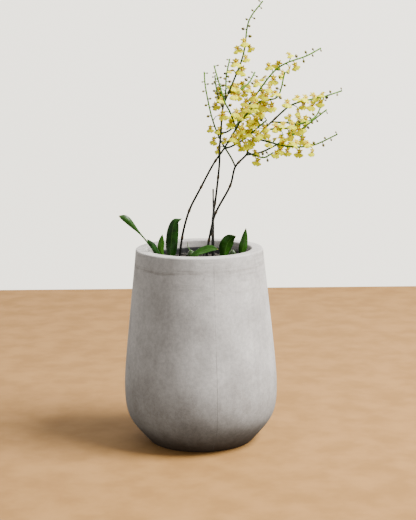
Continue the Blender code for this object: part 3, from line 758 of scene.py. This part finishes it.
def flank(height_from, height_to, inset=0.0, count=22):
    """The shell's outer outline between two heights, top to bottom, moved inwards by inset."""
    upper = [(RIM_RADIUS, HEIGHT - 0.005), (0.2053, 0.300), (BELLY_RADIUS, 0.207), (BELLY_RADIUS, BELLY_HEIGHT)]
    lower = [(BELLY_RADIUS, BELLY_HEIGHT), (BELLY_RADIUS, 0.072), (0.2045, 0.0635), (FOOT_RADIUS, 0.0)]
    outline = []
    for knots in (upper, lower):
        curve = interpolate_bezier(*(Vector((r, z, 0.0)) for r, z in knots), count)
        outline += [(point.x, point.y) for point in curve[:-1]]
    return [(r - inset, z) for r, z in outline if height_to < z < height_from]


def shell_profile():
    """The planter's half section: inside floor, inner wall, rim, outer flank and underside."""
    mouth, rim, lip_end = (MOUTH_RADIUS, HEIGHT), (RIM_RADIUS, HEIGHT), (MOUTH_RADIUS, HEIGHT - RIM_DEPTH)
    inner = flank(HEIGHT - RIM_DEPTH - 0.030, FLOOR + 0.012, WALL, 14)
    outer = flank(HEIGHT - 0.010, 0.008)
    corner_radius = inner[-1][0] - 0.012
    profile = [(0.0, FLOOR)]
    profile += [(corner_radius * share, FLOOR) for share in (0.25, 0.5, 0.75)]
    profile += arc((0.0, FLOOR), (corner_radius, FLOOR), inner[-1], 0.006)
    profile += reversed(inner)
    profile += arc(inner[0], lip_end, mouth, 0.010)
    profile.append((MOUTH_RADIUS, HEIGHT - 0.020))
    profile += arc(lip_end, mouth, rim, 0.0045, 6)
    profile += [(MOUTH_RADIUS + (RIM_RADIUS - MOUTH_RADIUS) * share, HEIGHT) for share in (0.35, 0.65)]
    profile += arc(mouth, rim, outer[0], 0.0045, 6)
    profile += outer
    profile += arc(outer[-1], (FOOT_RADIUS, 0.0), (0.0, 0.0), 0.005)
    profile += [(FOOT_RADIUS * share, 0.0) for share in (0.75, 0.5, 0.25, 0.0)]
    return profile


def drain_places():
    """The centres of the drain holes, where the plugs stand."""
    places = []
    for number in (1, 2, 3):
        low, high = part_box(f"drain_plug_{number}")
        places.append(((low.x + high.x) / 2, (low.y + high.y) / 2))
    return places


def press_seam(bm, seam_layer):
    """Cuts the mould's parting line into the outer flank, front and back."""
    across = Vector((math.cos(SEAM_TURN), math.sin(SEAM_TURN), 0.0))
    for offset in (-SEAM_REACH, -SEAM_HALF_WIDTH, 0.0, SEAM_HALF_WIDTH, SEAM_REACH):
        geometry = bm.verts[:] + bm.edges[:] + bm.faces[:]
        bmesh.ops.bisect_plane(bm, geom=geometry, dist=0.00001, plane_co=across * offset, plane_no=across)
    for vert in bm.verts:
        radius = math.hypot(vert.co.x, vert.co.y)
        aside = abs(vert.co.dot(across))
        if aside > SEAM_REACH - 0.0001 or not 0.004 <= vert.co.z <= HEIGHT - 0.006:
            continue
        if radius > outer_radius(vert.co.z) - 0.004:
            near = aside < SEAM_HALF_WIDTH * 0.5
            dirt = 0.35 + 0.65 * ease((0.34 - vert.co.z) / 0.10)
            vert[seam_layer] = dirt if near else 0.25 * dirt
            if near:
                vert.co.x *= 1 - SEAM_DEPTH / radius
                vert.co.y *= 1 - SEAM_DEPTH / radius


OUTLINE = flank(HEIGHT, 0.0)


def outer_radius(height):
    """The shell's outer radius at a height."""
    for (upper_r, upper_z), (lower_r, lower_z) in zip(OUTLINE, OUTLINE[1:]):
        if lower_z <= height <= upper_z:
            return lower_r + (upper_r - lower_r) * (height - lower_z) / (upper_z - lower_z)
    return RIM_RADIUS if height > BELLY_HEIGHT else FOOT_RADIUS


def roughen(bm, wear_layer):
    """Gives the cast surface its slight hand-made waviness, and marks the worn rim."""
    for vert in bm.verts:
        radius = math.hypot(vert.co.x, vert.co.y)
        if radius < MOUTH_RADIUS - 0.004 or vert.co.z < 0.010:
            continue
        wave = noise.noise(vert.co * 7.0) * 0.0005 + noise.noise(vert.co * 26.0) * 0.00018
        outwards = Vector((vert.co.x, vert.co.y, 0.0)).normalized()
        is_inner = radius < outer_radius(vert.co.z) - 0.006
        vert.co -= outwards * (abs(wave) if is_inner else abs(wave) * 0.9)
        edge = max(0.0, 1 - (HEIGHT - vert.co.z) / 0.007)
        vert[wear_layer] = min(1.0, edge)


def make_shell():
    """The cast shell, with its drain holes, parting line and worn rim."""
    bm = spun(shell_profile(), steps=176)
    bm = drilled(bm, drain_places(), DRAIN_RADIUS, -0.010, FLOOR + 0.010)
    seam_layer, wear_layer = vert_layers(bm, ("seam", "wear"))
    roughen(bm, wear_layer)
    press_seam(bm, seam_layer)
    return finished("shell", bm, CONCRETE, "planter", ["planter_shell"])


def ring_places(count, radius):
    """Places evenly round a circle about the planter's axis."""
    spots = []
    for number in range(count):
        angle = math.tau * (number + 0.5) / count
        spots.append((radius * math.cos(angle), radius * math.sin(angle)))
    return spots


def make_plugs():
    """The rubber drain plugs, with a moulded ring on the flange and a waisted knob."""
    for number, (x, y) in enumerate(drain_places(), 1):
        low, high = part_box(f"drain_plug_{number}")
        flange = FLOOR + 0.0003
        knob = high.z
        profile = rounded([
            (0.0, knob, 0), (0.0045, knob, 0.0012), (0.0045, knob - 0.0030, 0.0010),
            (0.0034, knob - 0.0045, 0.0006), (0.0042, flange + 0.0030, 0.0008),
            (0.0090, flange + 0.0030, 0.0003), (0.0096, flange + 0.0026, 0.0003),
            (0.0104, flange + 0.0030, 0.0003), (0.0130, flange + 0.0030, 0.0009),
            (0.0130, flange, 0.0004), (0.0077, flange, 0.0002), (0.0074, 0.0140, 0.0004),
            (0.0077, 0.0110, 0.0004), (0.0077, low.z, 0.0016), (0.0, low.z, 0),
        ])
        bm = spun(profile, steps=40)
        bmesh.ops.translate(bm, vec=(x, y, 0.0), verts=bm.verts)
        finished(f"plug_{number}", bm, RUBBER, f"plug_{number}", [f"drain_plug_{number}"])


def make_riser():
    """The open tapered ring that the saucer stands on, with a stepped side and a rolled lip."""
    top, foot = RISER_HIGH.z, RISER_LOW.z
    wall = PLASTIC_WALL
    step_height = top - 0.080
    profile = rounded([
        (0.0938, top, 0), (0.0950, top - 0.0012, 0), (0.1010, step_height, 0.0010),
        (0.1025, step_height - 0.003, 0.0008), (0.1150, foot + 0.012, 0.0015),
        (0.1200, foot + 0.012, 0.0020), (0.1200, foot, 0.0008), (0.1150 - wall, foot, 0.0008),
        (0.1025 - wall, step_height - 0.003, 0.0008), (0.1010 - wall, step_height, 0.0010),
        (0.0950 - wall, top, 0), (0.0938, top, 0),
    ])
    return finished("riser", spun(profile, steps=112), PLASTIC, "planter", ["riser_ring"])


def make_saucer():
    """The drip saucer, with a rolled rim."""
    low, top = SAUCER_LOW.z, SAUCER_HIGH.z
    wall = PLASTIC_WALL
    profile = rounded([
        (0.0, low + wall, 0), (0.1120 - wall, low + wall, 0.002), (0.1290 - wall, top - 0.004, 0.002),
        (0.1300 - wall, top, 0.0010), (0.1300, top, 0.0010), (0.1300, top - 0.003, 0.0006),
        (0.1120, low, 0.003), (0.0, low, 0),
    ])
    return finished("saucer", spun(profile, steps=112), PLASTIC, "planter", ["drip_saucer"])


def make_grow_pot():
    """The thin black nursery pot, with a rolled lip, two raised bands and holes in its base."""
    low, top = POT_LOW.z, POT_HIGH.z
    lip = POT_HIGH.x
    lip_base = top - 0.012
    side = POT_SIDE_RADIUS - POT_WALL
    band = 0.1362
    profile = rounded([
        (0.0, low + POT_WALL, 0), (POT_BASE_RADIUS - POT_WALL, low + POT_WALL, 0.004),
        (side, top - 0.004, 0.002), (side + 0.001, top, 0.001), (lip, top, 0.0016),
        (lip, lip_base, 0.0008), (band, lip_base, 0.0006), (band - 0.0040, lip_base - 0.030, 0.0005),
        (band - 0.0052, lip_base - 0.031, 0.0005), (POT_BASE_RADIUS, low, 0.004), (0.0, low, 0),
    ])
    bm = drilled(spun(profile, steps=128), ring_places(6, POT_HOLE_RING), POT_HOLE_RADIUS, low - 0.010, low + 0.010)
    return finished("nursery_pot", bm, PLASTIC, "lift_out_pot", ["grow_pot"])


def mix_radius(height):
    """The inside radius of the grow pot, less a hair, at a height."""
    share = (height - POT_LOW.z) / (POT_HIGH.z - POT_LOW.z)
    return POT_BASE_RADIUS + (POT_SIDE_RADIUS - POT_BASE_RADIUS) * share - POT_WALL - 0.0010


def stake_centre():
    """Where the stake stands."""
    return (STAKE_LOW.x + STAKE_HIGH.x) / 2, (STAKE_LOW.y + STAKE_HIGH.y) / 2


def make_mix():
    """The body of the mix, lumpy on top, with the stake's hole."""
    low = MIX_LOW.z
    top = MIX_TOP - 0.003
    rings = 12
    profile = [(mix_radius(top) * number / rings, top) for number in range(rings + 1)]
    profile += [(mix_radius(low + 0.008), low + 0.008), (mix_radius(low) - 0.004, low + 0.001), (0.0, low + 0.001)]
    bm = spun(profile, steps=96)
    for vert in bm.verts:
        if vert.co.z > top - 0.0001:
            vert.co.z += noise.noise(vert.co * 60.0) * 0.0022
    bm = drilled(bm, [stake_centre()], STAKE_HOLE_RADIUS, STAKE_LOW.z - 0.003, MIX_TOP + 0.010)
    layer = bm.verts.layers.float.new("chip_tone")
    for vert in bm.verts:
        vert[layer] = 0.25
    return finished("mix_body", bm, BARK, "lift_out_pot", ["potting_mix"])


def make_chips():
    """Bark chips strewn over the mix, each a small split lump of its own size and lie."""
    chance = random.Random(4)
    stake_x, stake_y = stake_centre()
    template = bmesh.new()
    bmesh.ops.create_icosphere(template, subdivisions=1, radius=1.0)
    lump = mesh_of(template, "chip_lump")
    bm = bmesh.new()
    layer = bm.verts.layers.float.new("chip_tone")
    for _ in range(CHIP_COUNT):
        radius = math.sqrt(chance.random()) * (mix_radius(MIX_TOP) - 0.008)
        angle = chance.random() * math.tau
        x, y = radius * math.cos(angle), radius * math.sin(angle)
        size = Vector((chance.uniform(0.004, 0.009), chance.uniform(0.0025, 0.005), chance.uniform(0.001, 0.0025)))
        lie = Matrix.Rotation(chance.random() * math.tau, 4, "Z")
        lie = lie @ Matrix.Rotation(chance.gauss(0, 0.35), 4, "X") @ Matrix.Rotation(chance.gauss(0, 0.25), 4, "Y")
        rise = chance.uniform(-0.002, 0.003)
        tone = chance.random()
        if math.hypot(x - stake_x, y - stake_y) < CHIP_CLEARANCE:
            continue
        bm.from_mesh(lump)
        bm.verts.ensure_lookup_table()
        for vert in bm.verts[-len(lump.vertices):]:
            jitter = 1 + chance.uniform(-0.28, 0.28)
            flat = Vector((vert.co.x * size.x, vert.co.y * size.y, vert.co.z * size.z)) * jitter
            vert.co = lie @ flat + Vector((x, y, MIX_TOP + rise))
            vert[layer] = tone
    face_outwards(bm)
    return finished("bark_chips", bm, BARK, "lift_out_pot", smooth_angle=20.0)


def make_stake():
    """The straight stake, slightly waisted, with a blunt top and a pointed foot."""
    x, y = stake_centre()
    radius = (STAKE_HIGH.x - STAKE_LOW.x) / 2
    top, low = STAKE_HIGH.z, STAKE_LOW.z
    profile = [(0.0, top)] + arc((0.0, top), (radius, top), (radius, top - 0.01), 0.0012)
    steps = 22
    for number in range(1, steps):
        height = top - 0.006 - (top - low - 0.022) * number / steps
        profile.append((radius - 0.00022 * (1 + math.sin(number * 2.4)), height))
    profile += [(radius, low + 0.015), (radius * 0.6, low + 0.006), (0.0007, low + 0.0004), (0.0, low)]
    bm = spun(profile, steps=24)
    bmesh.ops.translate(bm, vec=(x, y, 0.0), verts=bm.verts)
    return finished("stake", bm, STAKE_COAT, "stake", ["support_stake"])


# ---------------------------------------------------------------- the plant


def stem_layers(bm):
    """The attributes that the stem's skin reads."""
    return vert_layers(bm, ("along", "sheath"))


def make_stem(side):
    """A flower stem with a papery sheath at each joint, thinner and greener towards its top."""
    knots = STEMS[side]
    route = smooth_route(knots, 26 * len(knots))
    lengths = lengths_along(route)
    total = lengths[-1]
    chance = random.Random(side)
    joints = []
    at = 0.052 + chance.uniform(0.0, 0.02)
    while at < total - 0.02:
        joints.append(at)
        at += JOINT_SPACING * chance.uniform(0.85, 1.15)
    radii, shades, sheaths = [], [], []
    for length in lengths:
        share = length / total
        radius = STEM_RADIUS + (STEM_TIP_RADIUS - STEM_RADIUS) * share
        sheath = 0.0
        for joint in joints:
            above = length - joint
            if 0.0 <= above <= SHEATH_LENGTH:
                sheath = max(sheath, (1 - above / SHEATH_LENGTH) ** 0.5)
            elif -0.002 < above < 0.0:
                sheath = max(sheath, 1 + above / 0.002)
        radii.append(radius * (1 + 0.38 * sheath))
        sheaths.append(sheath)
        shades.append(share * STEM_TOP_SHADE)
    bm = bmesh.new()
    layers = stem_layers(bm)
    sweep(bm, route, radii, sides=12, marks=list(zip(layers, (shades, sheaths))))
    face_outwards(bm)
    return finished(f"flower_stem_{side}", bm, STEM_SKIN, "lift_out_pot", [f"stem_{side}"])


def blade_width(share, foot, stalk, widest):
    """How wide a leaf is at a share of its length, beside its widest."""
    if share < widest:
        return foot + (1 - foot) * ease((share - stalk) / (widest - stalk))
    fall = (share - widest) / (1 - widest)
    return max(0.03, 1 - fall**2.3)


def make_leaf(name):
    """A strap leaf: folded along its midrib, gently waved at its edges, and thin."""
    knots, half_width, spread, foot, stalk, widest = LEAVES[name]
    rows, columns = 44, 12
    route = smooth_route(knots, rows + 1)
    bm = bmesh.new()
    bm.loops.layers.uv.new("UVMap")
    bmesh.ops.create_grid(bm, x_segments=columns, y_segments=rows, size=1.0, calc_uvs=True)
    tone_layer = bm.verts.layers.float.new("tone")
    spread = Vector(spread)
    for vert in bm.verts:
        row = round((vert.co.y + 1) / 2 * rows)
        share = row / rows
        side = vert.co.x
        ahead = route[min(row + 1, rows)] - route[max(row - 1, 0)]
        across = (spread - spread.project(ahead)).normalized()
        facing = ahead.cross(across).normalized()
        width = half_width * blade_width(share, foot, stalk, widest)
        fold = 0.75 - 0.50 * min(1.0, share / max(widest, 0.3))
        wave = 0.05 * math.sin(share * 11.0 + side * 1.5) * side * side
        hollow = abs(side) ** 1.4 * fold + wave
        vert.co = route[row] + across * side * width * math.sqrt(1 - 0.3 * fold) + facing * hollow * width
        vert[tone_layer] = LEAF_TONES[name] * (1.2 - 0.5 * share)
    face_outwards(bm)
    leaf = finished(f"leaf_blade_{name}", bm, LEAF_BLADE, "lift_out_pot", [f"leaf_{name}"],
                    smooth_angle=60.0)
    skin = leaf.modifiers.new("blade", "SOLIDIFY")
    skin.thickness = LEAF_THICKNESS
    skin.offset = 0.0
    return leaf


def make_bulb(name):
    """A ribbed bulb in the place of its CAD solid, wrapped at its foot in old sheath."""
    low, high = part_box(f"pseudobulb_{name}")
    centre = (low + high) / 2
    size = (high - low) / 2
    bm = bmesh.new()
    bmesh.ops.create_uvsphere(bm, u_segments=40, v_segments=22, radius=1.0)
    layer = bm.verts.layers.float.new("sheath")
    for vert in bm.verts:
        angle = math.atan2(vert.co.y, vert.co.x)
        height = vert.co.z
        rib = 1 + 0.045 * math.cos(angle * 7.0) * (1 - height * height)
        waist = 1 - 0.20 * max(0.0, height)
        vert[layer] = max(0.0, -0.1 - height) * 1.2
        vert.co = Vector((vert.co.x * rib * waist * size.x * 0.96, vert.co.y * rib * waist * size.y * 0.96,
                          height * size.z)) + centre
    return finished(f"bulb_{name}", bm, BULB_SKIN, "lift_out_pot", [f"pseudobulb_{name}"])


def add_sheet(bm, columns, rows, shape):
    """Adds a thin grid, each of its points moved to shape(side from -1 to 1, share from 0 to 1)."""
    made = bmesh.ops.create_grid(bm, x_segments=columns, y_segments=rows, size=1.0, calc_uvs=True)
    for vert in made["verts"]:
        vert.co = shape(vert.co.x, (vert.co.y + 1) / 2)
    return made["verts"]


def add_lump(bm, place, size):
    """Adds a small closed lump."""
    matrix = Matrix.Translation(place) @ Matrix.Diagonal((*size, 1.0))
    return bmesh.ops.create_icosphere(bm, subdivisions=1, radius=1.0, matrix=matrix)["verts"]


def flower_template(seed):
    """One open flower that faces +Z with its lip down: a two-lobed skirt, five narrow petals and a heart."""
    chance = random.Random(seed)
    bm = bmesh.new()
    bm.loops.layers.uv.new("UVMap")
    barred, heart = vert_layers(bm, ("barred", "heart"))
    phase = chance.uniform(0, math.tau)

    def lip(side, share):
        """A point of the lip: narrow at its waist, broad and ruffled below, with two lobes."""
        broad = ease((share - 0.10) / 0.42)
        width = LIP_WAIST + (LIP_HALF_WIDTH - LIP_WAIST) * broad
        width *= math.sqrt(1 - 0.72 * max(0.0, (share - 0.66) / 0.34) ** 2)
        lobe = 0.0022 * math.sin(math.pi * min(1.0, abs(side) * 1.05)) - 0.0016 * (1 - abs(side)) ** 3
        down = 0.0012 + share * (LIP_LENGTH + lobe * broad)
        ruffle = 0.0009 * math.sin(side * 6.5 + share * 3.0 + phase) * (0.3 + abs(side)) * broad
        return Vector((side * width, -down, 0.0012 + 0.0022 * share - 0.0030 * side * side * broad + ruffle))

    verts = add_sheet(bm, columns=8, rows=5, shape=lip)
    for vert in verts:
        vert[heart] = ease((0.0050 + vert.co.y) / 0.0022)
    for turn, length, half_width in NARROW_PETALS:
        turn = math.radians(turn + chance.uniform(-6, 6))
        out = Vector((math.cos(turn), math.sin(turn), 0.0))
        aside = Vector((-out.y, out.x, 0.0))
        curl = chance.uniform(0.6, 1.4)

        def narrow(side, share):
            """A point of this narrow petal, which curls up and then back."""
            width = half_width * max(0.12, math.sin(math.pi * (0.14 + 0.84 * share)))
            wave = 0.0006 * math.sin(share * 10.0 + side * 2.0 + phase) * share
            rise = 0.0005 + 0.0016 * curl * math.sin(math.pi * share) - 0.0016 * share * share + wave
            return out * (0.0008 + length * share) + aside * side * width + Vector((0.0, 0.0, rise))

        for vert in add_sheet(bm, columns=2, rows=4, shape=narrow):
            vert[barred] = 1.0
    face_outwards(bm)
    bmesh.ops.solidify(bm, geom=bm.faces[:], thickness=PETAL_THICKNESS)
    for vert in add_lump(bm, (0.0, -0.0022, 0.0022), (0.0017, 0.0015, 0.0011)):
        vert[heart] = 1.0
    add_lump(bm, (0.0, 0.0004, 0.0022), (0.0011, 0.0020, 0.0013))
    face_outwards(bm)
    return mesh_of(bm, "flower_template")


def bud_template():
    """One closed bud that points up +Z from its foot."""
    bm = bmesh.new()
    bmesh.ops.create_uvsphere(bm, u_segments=9, v_segments=8, radius=1.0)
    along = bm.verts.layers.float.new("along")
    for vert in bm.verts:
        height = vert.co.z
        slim = 1 - 0.30 * height
        keel = 1 + 0.08 * math.cos(3 * math.atan2(vert.co.y, vert.co.x))
        vert[along] = (height + 1) / 2
        vert.co = Vector((vert.co.x * slim * keel * 0.78, vert.co.y * slim * keel * 0.78, height + 1.0)) * 0.5
    return mesh_of(bm, "bud_template")


FLOWER_TEMPLATES = [flower_template(seed) for seed in (11, 12, 13)]
BUD_TEMPLATE = bud_template()


def put(bm, template, place, facing, up, size):
    """Adds a template at a place, its Z along facing and its Y towards up."""
    facing = Vector(facing).normalized()
    aside = Vector(up).cross(facing).normalized()
    turn = Matrix((aside, facing.cross(aside), facing)).transposed().to_4x4()
    before = len(bm.verts)
    bm.from_mesh(template)
    bm.verts.ensure_lookup_table()
    matrix = Matrix.Translation(place) @ turn @ Matrix.Scale(size, 4)
    bmesh.ops.transform(bm, matrix=matrix, verts=bm.verts[before:])


def point_at(route, lengths, share):
    """The point and the direction at a share of a route's length."""
    target = lengths[-1] * share
    for number, length in enumerate(lengths[1:], 1):
        if length >= target:
            break
    before = lengths[number - 1]
    part = (target - before) / max(lengths[number] - before, 0.000001)
    spot = route[number - 1].lerp(route[number], min(1.0, part))
    return spot, (route[number] - route[number - 1]).normalized()


def clear_of_stake(spot):
    """Moves a spot out of the way that the stake is pulled up."""
    stake_x, stake_y = stake_centre()
    away = Vector((spot.x - stake_x, spot.y - stake_y, 0.0))
    if spot.z > STAKE_HIGH.z + STAKE_HEADROOM or away.length > STAKE_CLEARANCE:
        return spot
    return spot + away.normalized() * (STAKE_CLEARANCE - away.length)


def add_pedicel(bm, layers, start, bend, end):
    """Adds the thin stalk that carries one flower or bud."""
    points = 7
    route = smooth_route([start, bend, end], points)
    radii = [PEDICEL_RADIUS * (1.3 - 0.3 * step / (points - 1)) for step in range(points)]
    shades, sheaths = [PEDICEL_SHADE] * points, [0.5, 0.1] + [0.0] * (points - 2)
    sweep(bm, route, radii, sides=6, marks=list(zip(layers, (shades, sheaths))))


def add_bud(bm, chance, bend, end, grown):
    """Adds one bud at the end of its stalk."""
    facing = (end - bend).normalized() + Vector((0.0, 0.0, 0.3))
    put(bm, BUD_TEMPLATE, end, facing, (0.2, 0.9, 0.1), chance.uniform(*BUD_SIZES) * grown)


def add_flower(bm, chance, out, end):
    """Adds one open flower at the end of its stalk, turned to the front or, now and then, away."""
    facing = TOWARDS_FRONT + out * 0.55 + Vector((chance.gauss(0, 0.35), chance.gauss(0, 0.45), 0.25))
    if chance.random() < FACING_AWAY:
        facing.y = -facing.y
    up = Vector((chance.gauss(0, 0.30), 0.0, 1.0))
    size = chance.uniform(*FLOWER_SIZES)
    put(bm, chance.choice(FLOWER_TEMPLATES), end, facing, up, size)


def make_branch(name):
    """A flower branch: its twig and stalks, its open flowers, and the buds towards its tip."""
    side, height, knots, flower_count, bud_count, bare = BRANCHES[name]
    chance = random.Random(name)
    stem = smooth_route(STEMS[side], count=240)
    place = min(range(len(stem)), key=lambda index: abs(stem[index].z - height))
    start, shade = stem[place], STEM_TOP_SHADE * place / (len(stem) - 1)
    route = smooth_route([start] + knots, count=64)
    lengths = lengths_along(route)
    shares = [length / lengths[-1] for length in lengths]
    twig_bm, flower_bm, bud_bm = bmesh.new(), bmesh.new(), bmesh.new()
    layers = stem_layers(twig_bm)
    radii = [TWIG_RADIUS + (TWIG_TIP_RADIUS - TWIG_RADIUS) * share for share in shares]
    shades = [shade + (TWIG_TIP_SHADE - shade) * share**0.6 for share in shares]
    sweep(twig_bm, route, radii, sides=8, marks=list(zip(layers, (shades, [0.0] * len(shares)))))
    count = flower_count + bud_count
    for number in range(count):
        share = bare + (1 - bare) * (number + chance.uniform(0.2, 0.8)) / count
        spot, ahead = point_at(route, lengths, min(1.0, share))
        across = ahead.cross(TOWARDS_FRONT).normalized() * (1 if number % 2 else -1)
        lean = chance.gauss(0.0, 0.45)
        out = (across + TOWARDS_FRONT * (0.35 + lean) + ahead * 0.35).normalized()
        is_bud = number >= flower_count
        if is_bud:
            reach = chance.uniform(0.004, 0.008)
        else:
            reach = chance.uniform(0.009, 0.014) + chance.random()**3 * 0.018
        bend = spot + out * reach * 0.5 + ahead * reach * 0.25
        end = clear_of_stake(spot + out * reach)
        add_pedicel(twig_bm, layers, spot, bend, end)
        if is_bud:
            grown = 1 - 0.45 * (number - flower_count) / max(1, bud_count - 1)
            add_bud(bud_bm, chance, bend, end, grown)
        else:
            add_flower(flower_bm, chance, out, end)
    face_outwards(twig_bm)
    nodes = [f"flower_branch_{name}"]
    finished(f"twig_{name}", twig_bm, STEM_SKIN, "lift_out_pot", nodes)
    finished(f"flowers_{name}", flower_bm, PETAL, "lift_out_pot", nodes, smooth_angle=60.0)
    finished(f"buds_{name}", bud_bm, BUD_SKIN, "lift_out_pot", nodes, smooth_angle=60.0)


# ---------------------------------------------------------------- build

make_shell()
make_plugs()
make_riser()
make_saucer()
make_grow_pot()
make_mix()
make_chips()
make_stake()
for make, names in ((make_stem, STEMS), (make_branch, BRANCHES), (make_leaf, LEAVES), (make_bulb, BULBS)):
    for piece_name in names:
        make(piece_name)

# ---------------------------------------------------------------- floor, backdrop, light and camera


def stage_finish(name, colour, other, scale, roughness):
    """A plain finish for the floor or the backdrop, with a faint cloud in it."""
    made, tree, shader, place = new_material(name)
    cloud = noise_value(tree, place, scale, 3.0, 0.55)
    clouded = blend_colour(tree, between(tree, cloud, 0.3, 0.7), colour, other)
    finish_shader(tree, shader, clouded, roughness, cloud, bump=0.05, distance=0.001, Specular_IOR_Level=0.2)
    return made, tree, shader


def staged_sheet(name, matrix, finish):
    """A flat sheet of the stage."""
    bm = bmesh.new()
    bmesh.ops.create_grid(bm, x_segments=2, y_segments=2, size=STAGE_REACH, matrix=matrix)
    obj = linked(name, mesh_of(bm, name))
    obj.data.materials.append(finish)
    return obj


def make_floor():
    """The brown floor, which throws a neutral light back on the planter."""
    finish, tree, shader = stage_finish("floor_finish", rgb(0.270, 0.138, 0.040), rgb(0.335, 0.176, 0.056),
                                        9.0, 0.9)
    seen = tree.nodes.new("ShaderNodeLightPath").outputs["Is Camera Ray"]
    brown = shader.inputs["Base Color"].links[0].from_socket
    feed(tree, shader, Base_Color=blend_colour(tree, seen, rgb(0.100, 0.085, 0.068), brown))
    staged_sheet("floor", Matrix.Identity(4), finish)


def make_backdrop():
    """The bright backdrop. Its back lets the view through, so that the planter shows from behind."""
    finish, tree, shader = stage_finish("backdrop_finish", rgb(0.300, 0.292, 0.276), rgb(0.310, 0.302, 0.288),
                                        0.8, 0.95)
    feed(tree, shader, Emission_Color=rgb(1.0, 0.945, 0.820), Emission_Strength=2.25)
    behind = tree.nodes.new("ShaderNodeNewGeometry").outputs["Backfacing"]
    clear = tree.nodes.new("ShaderNodeBsdfTransparent").outputs[0]
    open_back = add(tree, "ShaderNodeMixShader", _0=behind, _1=shader.outputs[0], _2=clear).outputs[0]
    feed(tree, tree.nodes["Material Output"], Surface=open_back)
    upright = Matrix.Translation((0.0, WALL_PLACE, STAGE_REACH)) @ Matrix.Rotation(math.pi / 2, 4, "X")
    staged_sheet("backdrop", upright, finish).visible_diffuse = False


def area_light(name, place, target, size, energy, colour):
    """A soft square light aimed at a target."""
    data = bpy.data.lights.new(name, "AREA")
    data.shape = "SQUARE"
    data.size = size
    data.energy = energy
    data.color = colour
    lamp = linked(name, data)
    lamp.location = place
    lamp.rotation_euler = (Vector(target) - Vector(place)).to_track_quat("-Z", "Y").to_euler()


def light_world(colour, strength):
    """An even light from all round."""
    world = bpy.data.worlds.new("studio")
    world.use_nodes = True
    feed(world.node_tree, world.node_tree.nodes["Background"], Color=colour, Strength=strength)
    bpy.context.scene.world = world


def place_camera():
    """A long lens in front of the planter, a little above it and looking down."""
    lens = bpy.data.cameras.new("camera")
    lens.lens = 90.0
    lens.sensor_width = 36.0
    lens.clip_end = 50.0
    camera = linked("camera", lens)
    tilt = Matrix.Rotation(math.pi / 2 - CAMERA_PITCH, 4, "X")
    camera.matrix_world = Matrix.Translation(CAMERA_PLACE) @ tilt @ Matrix.Rotation(CAMERA_ROLL, 4, "Z")
    bpy.context.scene.camera = camera


make_floor()
make_backdrop()
area_light("key", place=(3.9, -1.05, 5.2), target=(0.0, 0.0, 0.5), size=3.0, energy=1600.0,
           colour=(1.0, 0.985, 0.96))
light_world(rgb(1.0, 0.99, 0.97), strength=0.74)
place_camera()
